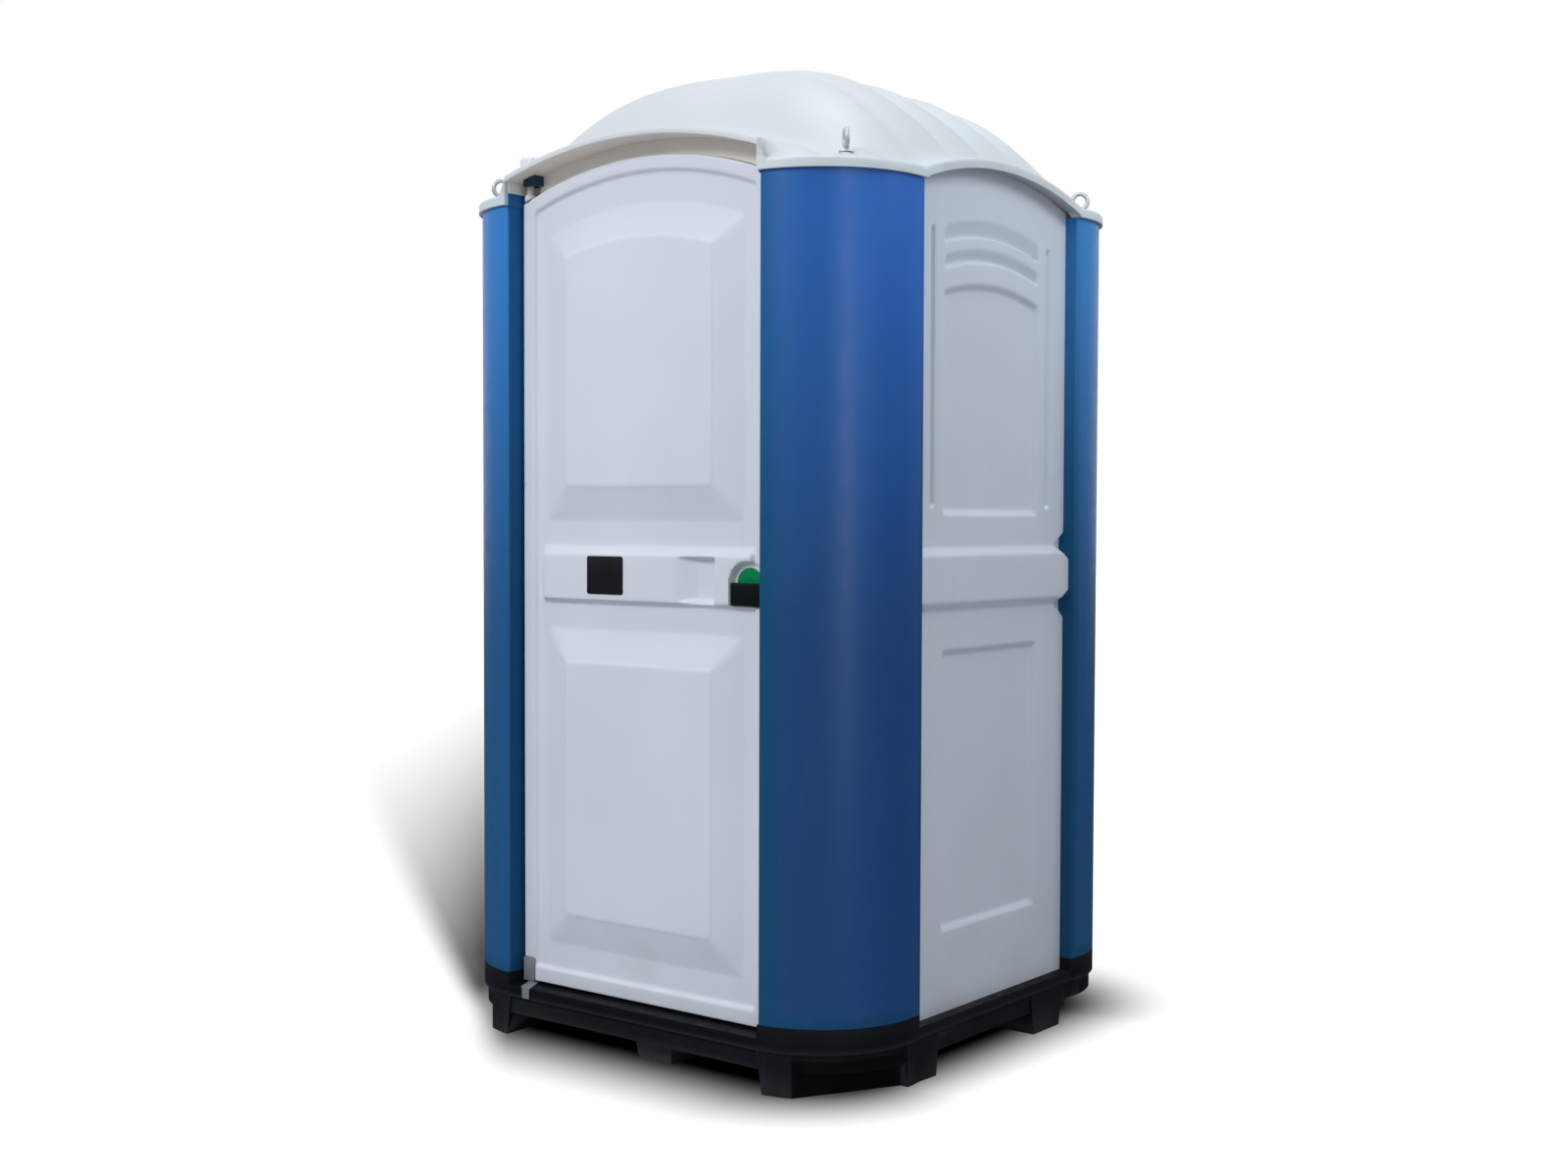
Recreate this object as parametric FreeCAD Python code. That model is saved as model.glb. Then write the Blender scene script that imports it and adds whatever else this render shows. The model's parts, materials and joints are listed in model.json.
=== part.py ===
import FreeCAD
import Part
import math
import os

V = FreeCAD.Vector
os.makedirs("parts", exist_ok=True)

# Portable toilet cabin of moulded polyethylene panels: a palletised base, four convex corner columns,
# formed wall panels, a translucent domed roof with lifting eyes, and a pivoted door with a half-turn
# latch. Millimetres, +Z up. The origin is on the ground under the middle of the cabin, the door faces -Y.

# Overall plan
cabin_width = 1150.0
cabin_depth = 1180.0
half_w = cabin_width / 2
half_d = cabin_depth / 2

# Corner columns: how far each runs along the front and along the side, and how far it bulges
column_front_run = 218.0
column_side_run = 274.0
column_bulge = 60.0
column_wall = 5.0
column_flange = 25.0
door_recess = 52.0
door_stop_depth = 30.0
door_stop_lip = 8.0
header_setback = 8.0
header_clear = 14.0
wall_recess = 32.0
column_foot = 143.0
column_top = 1862.0
column_inner_x = half_w - column_front_run
column_inner_y = half_d - column_side_run

# Base pallet
rim_bottom = 90.0
rim_top = 115.0
skirt_bottom = 50.0
skirt_inset = 8.0
deck_thickness = 6.0
deck_rib = 10.0
skirt_wall = 14.0
corner_leg_start = column_inner_x + 9.0
corner_leg_width = 58.0
leg_setback = 3.0
corner_foot_recess = 26.0
corner_leg_side = 104.0
corner_leg_side_end = column_inner_y - 62.0
rear_foot_front = column_inner_y - 167.0
rear_foot_end = rear_foot_front + 109.0
middle_foot_centre = 38.0
middle_foot_half = 46.0
middle_foot_front = half_d - 50.0
middle_foot_length = 130.0
foot_taper = 14.0

# Roof
roof_overhang = 8.0
roof_rim = 22.0
roof_wall = 4.0
dome_base = 1828.0
dome_rise = 335.0
dome_half_x = half_w + 19.0
dome_half_y = half_d - 55.0
dome_power_x = 3.3
dome_power_y = 5.2
dome_power = 1.235
dome_rib_depth = 9.0
dome_rib_first = -115.0
dome_rib_pitch = 155.0
dome_rib_count = 4
dome_rib_edge = 30.0
dome_rib_shoulder = 0.25
dome_end_trim = 6.0
dome_end_steps = (0.0, 20.0, 60.0, 130.0, 220.0)
front_arch_crest = 1969.0
front_arch_radius = 1150.0
side_arch_crest = 1924.0
side_arch_radius = 1000.0
back_arch_radius = 1250.0
hood_thickness = 14.0
hood_length = 170.0
eye_x = half_w - 85.0
eye_y = half_d - 112.0
eye_boss_radius = 17.0
eye_ring_outer = 22.5
eye_ring_inner = 13.5
eye_ring_thickness = 9.0
eye_collar_radius = 15.0
eye_collar_height = 6.0
eye_shank_radius = 6.0
eye_shank_spare = 10.0
eye_hole_gap = 0.2
eye_nut_radius = 11.0
eye_nut_height = 12.0

# Door leaf
door_gap = 5.0
door_bottom = 120.0
door_crest = 1936.0
door_arch_radius = 940.0
door_thickness = 26.0
door_skin = 3.5
door_lip = 8.0
door_lip_side = 34.0
door_lip_top = 30.0
door_lip_foot = 34.0
field_half = column_inner_x - 76.0
field_bevel = 70.0
field_proud = 20.0
upper_field_bottom = 1162.0
upper_field_crest = 1838.0
lower_field_bottom = 216.0
lower_field_top = 924.0
band_bottom = 981.0
band_top = 1107.0
band_half = column_inner_x - 64.0
band_proud = 16.0
band_bevel = 10.0
hinge_x = 23.0 - column_inner_x
hinge_y = -(half_d - 50.0)
hinge_pin_radius = 8.0
hinge_pin_end_gap = 2.0
hinge_collar_width = 4.0
hinge_collar_height = 11.0
hinge_socket_depth = 14.0
hinge_socket_gap = 1.5
strap_height = 55.0
bore_clearance = 0.05

# Sign, pull recess and latch on the door's band
sign_left = -147.0
sign_width = 105.0
sign_bottom = 1002.0
sign_height = 83.0
sign_thickness = 2.0
sign_corner = 6.0
pull_left = column_inner_x - 248.0
pull_width = 103.0
pull_depth = 20.0
latch_x = column_inner_x - 59.0
latch_z = 1034.0
latch_recess_radius = 46.0
latch_recess_bottom = 986.0
indicator_radius = 33.0
indicator_thickness = 3.0
latch_block_width = 84.0
latch_block_height = 42.0
latch_block_depth = 15.0
spindle_radius = 6.0
latch_throw = 22.0
bolt_thickness = 10.0
bolt_height = 20.0
bolt_length = 92.0
bolt_way_gap = 1.0
bolt_guide_gap = 0.3
bolt_guide_wall = 4.0
bolt_guide_length = 14.0
strike_thickness = 2.0
strike_half_width = 12.0
strike_half_height = 34.0
strike_gap = 2.0
stop_strip_gap = 0.5
stop_strip_margin = 20.0
knob_radius = 24.0

# Wall panels
wall_sheet = 4.0
wall_gap = 0.3
wall_band_bottom = 973.0
wall_band_top = 1107.0
wall_band_bevel = 17.0
wall_band_proud = 14.0
wall_field_half = column_inner_y - 120.0
wall_field_depth = 10.0
wall_field_bevel = 12.0
wall_upper_bottom = 1175.0
wall_upper_crest = 1676.0
wall_lower_bottom = 288.0
wall_lower_top = 890.0
louvre_radius = 700.0
louvre_crests = (1812.0, 1750.0)
louvre_heights = (38.0, 29.0)
louvre_depth = 14.0
louvre_slit = 8.0
border_groove_at = column_inner_y - 78.0
border_groove_width = 12.0
border_groove_depth = 6.0
border_groove_bottom = 1194.0
border_groove_top = 1776.0
notch_reach = 45.0
notch_half_height = 29.0
notch_depth = 12.0

# Inside the cabin
floor_sheet = 4.0
floor_rib = 3.0
floor_front = half_d - 90.0
floor_gap = 2.0
tank_front = half_d - 470.0
tank_top = 560.0
tank_wall = 5.0
tank_side_gap = 7.0
seat_y = tank_front + 165.0
seat_hole_half_x = 105.0
seat_hole_half_y = 125.0
seat_ring_width = 55.0
seat_thickness = 18.0
seat_gap = 2.0
seat_edge_chamfer = 4.0
lid_thickness = 14.0
lid_gap = 1.0
lid_open = 92.0
seat_hinge_behind = 24.0
seat_hinge_rise = 14.0
seat_pin_radius = 5.0
seat_knuckle_radius = 11.0
seat_ear_width = 16.0
seat_ear_at = 62.0
lid_ear_at = 42.0
seat_post_at = 82.0
vent_x = 155.0 - half_w
vent_y = half_d - 250.0
vent_radius = 45.0
vent_wall = 3.0
vent_above_roof = 26.0
vent_cap_overhang = 14.0
vent_cap_lift = 14.0
vent_cap_edge = 4.0
vent_cap_rise = 12.0
vent_leg_width = 16.0
vent_leg_thickness = 4.0
vent_leg_gap = 0.2
vent_clip_wall = 4.0
vent_clip_height = 30.0
vent_clip_arm = 15.0
vent_clip_heights = (900.0, 1500.0)
roll_y = -40.0
roll_z = 820.0
roll_reach = 68.0
roll_radius = 56.0
roll_width = 100.0
roll_core = 20.0
hook_z = 1600.0
hook_y = -120.0


def box(x0, x1, y0, y1, z0, z1):
    return Part.makeBox(x1 - x0, y1 - y0, z1 - z0, V(x0, y0, z0))


def cylinder(radius, start, direction, length):
    return Part.makeCylinder(radius, length, start, direction)


def polygon(points):
    return Part.makePolygon([V(*p) for p in points] + [V(*points[0])])


def prism(wire, direction):
    return Part.Face(wire).extrude(direction)


def loft(wires):
    return Part.makeLoft(wires, True, True)


def sag(radius, half_width):
    """How far an arch of this radius drops from its crest to half_width beside it."""
    return radius - math.sqrt(radius ** 2 - half_width ** 2)


def field_wire(half, bottom, top, radius, y, centre=0.0):
    """Outline in an upright plane at y; with a radius its top is an arch whose crest is at top."""
    left = centre - half
    right = centre + half
    edge = top - sag(radius, half) if radius else top
    a = V(left, y, bottom)
    b = V(right, y, bottom)
    c = V(right, y, edge)
    d = V(left, y, edge)
    if radius:
        head = Part.Arc(c, V(centre, y, top), d).toShape()
    else:
        head = Part.LineSegment(c, d).toShape()
    sides = [Part.LineSegment(p, q).toShape() for p, q in ((a, b), (b, c))]
    return Part.Wire(sides + [head, Part.LineSegment(d, a).toShape()])


def field(half, bottom, top, radius, y0, y1, inset, centre=0.0):
    """Solid between two such outlines, the second drawn in by inset all round."""
    inner_radius = radius - inset if radius else None
    first = field_wire(half, bottom, top, radius, y0, centre)
    second = field_wire(half - inset, bottom + inset, top - inset, inner_radius, y1, centre)
    return loft([first, second])


def corner_arc(outset, x_start, y_end):
    """Start, middle and end of the corner's plan arc in the quadrant where x and y are positive."""
    chord = math.hypot(column_front_run, column_side_run)
    radius = (chord ** 2 / 4 + column_bulge ** 2) / (2 * column_bulge)
    nx = column_side_run / chord
    ny = column_front_run / chord
    cx = half_w - column_front_run / 2 - nx * (radius - column_bulge)
    cy = half_d - column_side_run / 2 - ny * (radius - column_bulge)
    r = radius + outset
    start = (x_start, cy + math.sqrt(r ** 2 - (x_start - cx) ** 2))
    middle = (cx + nx * r, cy + ny * r)
    end = (cx + math.sqrt(r ** 2 - (y_end - cy) ** 2), y_end)
    return start, middle, end


def footprint(outset, z):
    """The cabin's plan outline, grown by outset."""
    start, middle, end = corner_arc(outset, column_inner_x, column_inner_y)
    edges = []
    corners = ((1, 1), (1, -1), (-1, -1), (-1, 1))
    last = None
    first = None
    for sx, sy in corners:
        trio = [V(sx * p[0], sy * p[1], z) for p in (start, middle, end)]
        if sx * sy < 0:
            trio.reverse()
        if last:
            edges.append(Part.LineSegment(last, trio[0]).toShape())
        else:
            first = trio[0]
        edges.append(Part.Arc(*trio).toShape())
        last = trio[2]
    edges.append(Part.LineSegment(last, first).toShape())
    return Part.Wire(edges)


def corner_block(sx, sy, depth_y, z0, z1):
    """The whole plan area of one column, closed on the inside, as a block."""
    start, middle, end = corner_arc(0.0, column_inner_x, column_inner_y)
    flange_x = half_w - wall_recess - column_flange
    points = [start, middle, end, (flange_x, column_inner_y), (column_inner_x, half_d - depth_y)]
    p = [V(sx * x, sy * y, z0) for x, y in points]
    edges = [Part.Arc(p[0], p[1], p[2]).toShape()]
    edges += [Part.LineSegment(a, b).toShape() for a, b in ((p[2], p[3]), (p[3], p[4]), (p[4], p[0]))]
    return prism(Part.Wire(edges), V(0, 0, z1 - z0))


def column(sx, sy):
    """Convex corner shell with a return along the doorway or back wall and one along the side wall."""
    front = sy < 0
    depth_y = door_recess + door_stop_depth + column_wall if front else wall_recess + column_flange
    flange_x = half_w - wall_recess - column_flange
    outer = corner_arc(0.0, column_inner_x, column_inner_y)
    inner = corner_arc(-column_wall, column_inner_x + column_wall, column_inner_y + column_wall)
    p = [V(sx * x, sy * y, column_foot) for x, y in outer]
    q = [V(sx * x, sy * y, column_foot) for x, y in inner]
    side_a = V(sx * flange_x, sy * column_inner_y, column_foot)
    side_b = V(sx * flange_x, sy * (column_inner_y + column_wall), column_foot)
    end_a = V(sx * (column_inner_x + column_wall), sy * (half_d - depth_y), column_foot)
    end_b = V(sx * column_inner_x, sy * (half_d - depth_y), column_foot)
    edges = [Part.Arc(*p).toShape(), Part.Arc(*q).toShape()]
    pairs = ((p[2], side_a), (side_a, side_b), (side_b, q[2]), (q[0], end_a), (end_a, end_b), (end_b, p[0]))
    for a, b in pairs:
        edges.append(Part.LineSegment(a, b).toShape())
    shell = prism(Part.Wire(Part.sortEdges(edges)[0]), V(0, 0, column_top - column_foot))
    if front:
        y = sorted((sy * (half_d - depth_y), sy * (half_d - depth_y + column_wall)))
        x = sorted((sx * (column_inner_x - door_stop_lip), sx * (column_inner_x + column_wall)))
        shell = shell.fuse(box(x[0], x[1], y[0], y[1], column_foot, column_top)).removeSplitter()
    return shell


def loop_loft(bottom, top):
    """A foot: the outline on the ground and the wider one under the deck."""
    return loft([polygon(bottom), polygon(top)])


def corner_foot(sx):
    """Front foot: a leg flush with the front, one flush with the side, and a wall set back between."""
    front = half_d
    side = half_w
    leg_in = corner_leg_start
    leg_out = corner_leg_start + corner_leg_width
    side_a = corner_leg_side_end + corner_leg_side
    side_b = corner_leg_side_end
    t = foot_taper

    def ring(grow, z):
        return [(sx * x, -y, z) for x, y in (
            (leg_in - grow, front), (leg_out, front), (leg_out, front - corner_foot_recess),
            (side - corner_foot_recess, side_a), (side, side_a), (side, side_b - grow),
            (leg_in + t - grow, side_b - grow))]
    return loop_loft(ring(0.0, 0.0), ring(t, rim_top - deck_thickness))


def rear_foot(sx):
    """Rear foot: flush with the side, and running back to the rear skirt behind it."""
    side = half_w
    rear = half_d - skirt_inset - skirt_wall
    leg_in = corner_leg_start
    t = foot_taper

    def ring(grow, z):
        return [(sx * x, y, z) for x, y in (
            (leg_in - t - grow, rear_foot_front - grow), (side, rear_foot_front - grow),
            (side, rear_foot_end + grow), (leg_in + t + grow, rear), (leg_in - t - grow, rear))]
    return loop_loft(ring(0.0, 0.0), ring(t, rim_top - deck_thickness))


def middle_foot(y_start, y_end):
    x0 = middle_foot_centre - middle_foot_half
    x1 = middle_foot_centre + middle_foot_half
    t = foot_taper

    def ring(grow, z):
        return [(x0 - grow, y_start - grow, z), (x1 + grow, y_start - grow, z),
                (x1 + grow, y_end + grow, z), (x0 - grow, y_end + grow, z)]
    return loop_loft(ring(0.0, 0.0), ring(t, rim_top - deck_thickness))


def base_pallet():
    """Rim, set-back skirt, deck, ribs below the deck, six feet and four plinths under the columns."""
    rim = prism(footprint(0.0, rim_bottom), V(0, 0, rim_top - rim_bottom))
    skirt = prism(footprint(-skirt_inset, skirt_bottom), V(0, 0, rim_bottom - skirt_bottom))
    body = rim.fuse(skirt)
    deck_under = rim_top - deck_thickness
    reach_x = half_w - skirt_inset - skirt_wall
    reach_y = half_d - skirt_inset - skirt_wall
    columns = 6
    rows = 5
    cell_x = (2 * reach_x + deck_rib) / columns
    cell_y = (2 * reach_y + deck_rib) / rows
    pockets = []
    for i in range(columns):
        for j in range(rows):
            x0 = -reach_x + i * cell_x
            y0 = -reach_y + j * cell_y
            x1 = x0 + cell_x - deck_rib
            y1 = y0 + cell_y - deck_rib
            pockets.append(box(x0, x1, y0, y1, skirt_bottom, deck_under))
    inside = prism(footprint(-skirt_inset - skirt_wall, skirt_bottom), V(0, 0, deck_under - skirt_bottom))
    body = body.cut([pocket.common(inside) for pocket in pockets])
    rear = half_d - skirt_inset - skirt_wall
    feet = [corner_foot(1), corner_foot(-1), rear_foot(1), rear_foot(-1)]
    feet.append(middle_foot(-middle_foot_front, -middle_foot_front + middle_foot_length))
    feet.append(middle_foot(rear - middle_foot_length, rear - foot_taper))
    plinths = []
    for sx in (1, -1):
        for sy in (1, -1):
            front = sy < 0
            depth = door_recess + door_stop_depth + column_wall if front else wall_recess + column_flange
            plinths.append(corner_block(sx, sy, depth, rim_top, column_foot))
    limit = prism(footprint(-leg_setback, 0.0), V(0, 0, deck_under))
    feet = [foot.common(limit) for foot in feet]
    body = body.fuse(feet + plinths).removeSplitter()
    socket = cylinder(hinge_pin_radius + hinge_socket_gap, V(hinge_x, hinge_y, rim_top - hinge_socket_depth),
                      V(0, 0, 1), hinge_socket_depth + 5)
    return body.cut(socket)


def dome_height(x, y):
    a = 1 - (abs(x) / dome_half_x) ** dome_power_x
    b = 1 - (abs(y) / dome_half_y) ** dome_power_y
    return dome_base + dome_rise * (a * b) ** dome_power


def eye_seat():
    """Top of a lifting eye's boss, level with the dome on the boss's inner side."""
    return round(dome_height(eye_x - eye_boss_radius, eye_y - eye_boss_radius), 1)


def dome_section(y, grow, drop):
    """Upright outline of the dome at y, made of three arcs over a flat foot."""
    half_x = dome_half_x + grow
    half_y = dome_half_y + grow
    across = 1 - min(abs(y) / half_y, 1.0) ** dome_power_y
    steps = 6
    points = []
    for i in range(steps + 1):
        share = math.sin(math.pi / 2 * (2 * i / steps - 1))
        rise = (dome_rise + grow) * (across * max(1 - abs(share) ** dome_power_x, 0.0)) ** dome_power
        fade = 1 - abs(share) ** 6
        points.append(V(half_x * share, y, dome_base + max(rise - drop * fade, 0.0)))
    for i in range(1, steps):
        points[i].z += 0.5
    edges = [Part.Arc(*points[i:i + 3]).toShape() for i in range(0, steps, 2)]
    edges.append(Part.LineSegment(points[-1], points[0]).toShape())
    return Part.Wire(edges)


def dome_solid(grow):
    """The dome: sections set close at its rounded ends, and three at each rib's valley."""
    end = dome_half_y + grow - dome_end_trim
    behind_ribs = dome_rib_first + dome_rib_pitch * (dome_rib_count - 1) + 2 * dome_rib_edge
    drops = {}
    for step in dome_end_steps:
        drops[step - end] = 0.0
        if end - step > behind_ribs:
            drops[end - step] = 0.0
    for i in range(dome_rib_count):
        valley = dome_rib_first + i * dome_rib_pitch
        drops[valley] = dome_rib_depth
        for side in (-1, 1):
            drops[valley + side * dome_rib_edge] = dome_rib_depth * dome_rib_shoulder
    return Part.makeLoft([dome_section(y, grow, drops[y]) for y in sorted(drops)], True, True)


def arch_block(half, crest, radius, z0, start, length):
    """Everything under an arch, as a block that runs along +Y from start."""
    return prism(field_wire(half, z0, crest, radius, start), V(0, length, 0))


def turned(shape, degrees):
    copy = shape.copy()
    copy.rotate(V(0, 0, 0), V(0, 0, 1), degrees)
    return copy


def roof_dome():
    """Rim, dome, and the four arched hoods over the door and the walls, with a boss for each eye."""
    far_y = half_d + roof_overhang
    far_x = half_w + roof_overhang
    rim = prism(footprint(roof_overhang, column_top), V(0, 0, roof_rim))
    half_f = column_inner_x
    half_s = column_inner_y
    t = hood_thickness
    outer = [rim, dome_solid(0.0)]
    outer.append(arch_block(half_f + t, front_arch_crest + t, front_arch_radius + t, column_top,
                            -far_y, hood_length))
    outer.append(turned(arch_block(half_f + t, side_arch_crest + t, back_arch_radius + t, column_top,
                                   -far_y, hood_length), 180))
    side = arch_block(half_s + t, side_arch_crest + t, side_arch_radius + t, column_top, -far_x, hood_length)
    outer += [turned(side, 90), turned(side, -90)]
    for sx in (1, -1):
        for sy in (1, -1):
            outer.append(cylinder(eye_boss_radius, V(sx * eye_x, sy * eye_y, column_top), V(0, 0, 1),
                                  eye_seat() - column_top))
    below = box(-far_x - 50, far_x + 50, -far_y - 50, far_y + 50, dome_base - 50, column_top)
    voids = [dome_solid(-roof_wall)]
    low = column_top - 40
    voids.append(arch_block(half_f, front_arch_crest, front_arch_radius, low, -far_y - 5, far_y))
    voids.append(turned(arch_block(half_f, side_arch_crest, back_arch_radius, low, -far_y - 5, far_y), 180))
    side_air = arch_block(half_s, side_arch_crest, side_arch_radius, low, -far_x - 5, far_x)
    voids += [turned(side_air, 90), turned(side_air, -90)]
    voids.append(below)
    shell = outer[0].fuse(outer[1:])
    shell = shell.cut(voids)
    vent = cylinder(vent_radius + 1.0, V(vent_x, vent_y, column_top), V(0, 0, 1), dome_rise)
    holes = [vent]
    for sx in (1, -1):
        for sy in (1, -1):
            holes.append(cylinder(eye_shank_radius + eye_hole_gap, V(sx * eye_x, sy * eye_y, column_top - 1),
                                  V(0, 0, 1), 60))
    shell = shell.cut(holes)
    solids = sorted(shell.Solids, key=lambda s: s.Volume)
    return solids[-1]


def wall_relief(width_half, grow, inward, z0, crest, radius, back):
    """Wall block with its raised band and sunk fields; grow and inward move it to the inner face."""
    block = prism(field_wire(width_half - grow, z0 + grow, crest - grow, radius - grow, inward),
                  V(0, back - inward, 0))
    band = field_band(width_half - grow, wall_band_bottom, wall_band_top, wall_band_bevel,
                      inward, inward - wall_band_proud, grow)
    block = block.fuse(band)
    cuts = []
    depth = wall_field_depth
    cuts.append(field(wall_field_half + grow, wall_upper_bottom - grow, wall_upper_crest + grow,
                      louvre_radius + grow, inward, inward + depth, wall_field_bevel))
    cuts.append(field(wall_field_half + grow, wall_lower_bottom - grow, wall_lower_top + grow,
                      None, inward, inward + depth, wall_field_bevel))
    for top, height in zip(louvre_crests, louvre_heights):
        cuts.append(louvre(top, height, inward, grow))
    for sx in (1, -1):
        x = sx * border_groove_at
        w = border_groove_width / 2 + grow
        cuts.append(box(x - w, x + w, inward, inward + border_groove_depth,
                        border_groove_bottom - grow, border_groove_top + grow))
        for z in (wall_band_top, wall_band_bottom):
            cuts.append(notch(sx, z, width_half, inward, grow))
    return block.cut(cuts)


def field_band(half, bottom, top, bevel, y0, y1, grow):
    """Raised rail across the whole panel, bevelled along its top and bottom."""
    low = bottom + grow
    high = top - grow
    points = [(-half, y0, low), (-half, y1, low + bevel), (-half, y1, high - bevel), (-half, y0, high)]
    return prism(polygon(points), V(2 * half, 0, 0))


def louvre(top, height, inward, grow):
    """Arched pocket, as deep at its top as louvre_depth, with a sloping floor."""
    half = wall_field_half - 4 + grow
    outer_top = top + grow
    lower_top = top - height - grow
    radius = louvre_radius

    def outline(y, squeeze):
        a = V(-half, y, outer_top - sag(radius, half))
        b = V(0, y, outer_top)
        c = V(half, y, outer_top - sag(radius, half))
        d = V(half, y, lower_top + squeeze - sag(radius, half))
        e = V(0, y, lower_top + squeeze)
        f = V(-half, y, lower_top + squeeze - sag(radius, half))
        return Part.Wire([Part.Arc(a, b, c).toShape(), Part.LineSegment(c, d).toShape(),
                          Part.Arc(d, e, f).toShape(), Part.LineSegment(f, a).toShape()])
    return loft([outline(inward - 1, 0.0), outline(inward + louvre_depth, height * 0.45)])


def louvre_opening(top, inward):
    """Slit high in the back of a louvre's pocket, where the air goes in."""
    half = wall_field_half - 24
    radius = louvre_radius
    high = top - 6
    low = high - louvre_slit
    a = V(-half, inward, high - sag(radius, half))
    b = V(0, inward, high)
    c = V(half, inward, high - sag(radius, half))
    d = V(half, inward, low - sag(radius, half))
    e = V(0, inward, low)
    f = V(-half, inward, low - sag(radius, half))
    wire = Part.Wire([Part.Arc(a, b, c).toShape(), Part.LineSegment(c, d).toShape(),
                      Part.Arc(d, e, f).toShape(), Part.LineSegment(f, a).toShape()])
    return prism(wire, V(0, 30, 0))


def notch(sx, z, half, inward, grow):
    """V notch in the panel's edge, above or below the band."""
    g = grow * 1.5
    points = [(sx * (half + 1), z + notch_half_height + g), (sx * (half - notch_reach - g), z),
              (sx * (half + 1), z - notch_half_height - g)]
    y0 = inward - wall_band_proud - 1
    wire = polygon([(x, y0, zz) for x, zz in points])
    return prism(wire, V(0, notch_depth + wall_band_proud + 1, 0))


def wall_panel(width_half, crest, radius):
    """Formed sheet with turned-in edges, its outer face at y=0 and its outside towards -Y."""
    z0 = rim_top
    outer = wall_relief(width_half, 0.0, 0.0, z0, crest - wall_gap, radius - wall_gap, column_flange)
    hollow = wall_relief(width_half, wall_sheet, wall_sheet, z0, crest - wall_gap, radius - wall_gap,
                         column_flange + 5)
    sheet = outer.cut(hollow)
    sheet = sheet.cut([louvre_opening(top, 0.0) for top in louvre_crests])
    solids = sorted(sheet.Solids, key=lambda s: s.Volume)
    return solids[-1]


def side_wall(sx):
    panel = wall_panel(column_inner_y, side_arch_crest, side_arch_radius)
    panel.translate(V(0, -(half_w - wall_recess), 0))
    return turned(panel, 90 * sx)


def back_wall():
    panel = wall_panel(column_inner_x, side_arch_crest, back_arch_radius)
    panel.translate(V(0, -(half_d - wall_recess), 0))
    return turned(panel, 180)


def door_header():
    """Arched lintel between the door's top and the roof's hood, set back from the door's face."""
    face = -(half_d - door_recess - header_setback)
    back = -(half_d - door_recess - door_stop_depth - column_wall)
    under = door_crest + door_gap
    radius = door_arch_radius + door_gap
    whole = arch_block(column_inner_x, front_arch_crest, front_arch_radius, column_foot, face, back - face)
    below = arch_block(column_inner_x + 1, under, radius, 0.0, face - 1, back - face + 2)
    clear = hinge_pin_radius + header_clear
    notch_box = box(hinge_x - clear, hinge_x + clear, face - 1, hinge_y + clear,
                    door_bottom, front_arch_crest)
    return whole.cut([below, notch_box]).Solids[0]


def door_half():
    return column_inner_x - door_gap


def door_block(grow, inward, back):
    """The leaf's relief: a lip round its edge, two raised bevelled fields and the band."""
    face = -(half_d - door_recess) + inward
    half = door_half() - grow
    crest = door_crest - grow
    radius = door_arch_radius - grow
    bottom = door_bottom + grow
    leaf = prism(field_wire(half, bottom, crest, radius, face - door_lip), V(0, back - face + door_lip, 0))
    sunk_half = door_half() - door_lip_side + grow
    sunk = field(sunk_half, door_bottom + door_lip_foot - grow, door_crest - door_lip_top + grow,
                 door_arch_radius - door_lip_top + grow, face - door_lip, face, 4.0)
    leaf = leaf.cut(sunk)
    proud = face - field_proud
    upper = field(field_half - grow, upper_field_bottom + grow, upper_field_crest - grow,
                  door_arch_radius - 98 - grow, face, proud, field_bevel)
    lower = field(field_half - grow, lower_field_bottom + grow, lower_field_top - grow, None,
                  face, proud, field_bevel)
    band = field(band_half - grow, band_bottom + grow, band_top - grow, None, face, face - band_proud,
                 band_bevel)
    return leaf.fuse([upper, lower, band])


def pull_scoop(grow, inward):
    """Hand recess, sloping in from the hinge side to a square wall on the latch side."""
    face = -(half_d - door_recess) - band_proud + inward
    top = band_top - band_bevel - 10 + grow
    low = band_bottom + band_bevel - 4 - grow
    left = pull_left - grow
    right = pull_left + pull_width + grow
    ramp = 40.0
    a = [(left, face - 1, low), (right, face - 1, low), (right, face - 1, top), (left, face - 1, top)]
    deep = face + pull_depth
    b = [(left + ramp, deep, low + 8), (right, deep, low + 8), (right, deep, top), (left + ramp, deep, top)]
    return loft([polygon(a), polygon(b)])


def latch_pocket(grow, inward):
    """Round-headed pocket through the band, down to the leaf's own face."""
    face = -(half_d - door_recess) + inward
    r = latch_recess_radius + grow
    right = latch_x + r
    low = latch_recess_bottom - grow
    start = face - band_proud - 1
    left = V(latch_x - r, start, latch_z)
    edges = [Part.Arc(left, V(latch_x, start, latch_z + r), V(right, start, latch_z)).toShape()]
    corners = [V(right, start, latch_z), V(right, start, low), V(latch_x - r, start, low), left]
    edges += [Part.LineSegment(corners[i], corners[i + 1]).toShape() for i in range(3)]
    return prism(Part.Wire(edges), V(0, face - start, 0))


def bolt_y():
    """Middle of the bolt, halfway between the two skins."""
    return -(half_d - door_recess) + door_thickness / 2


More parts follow.
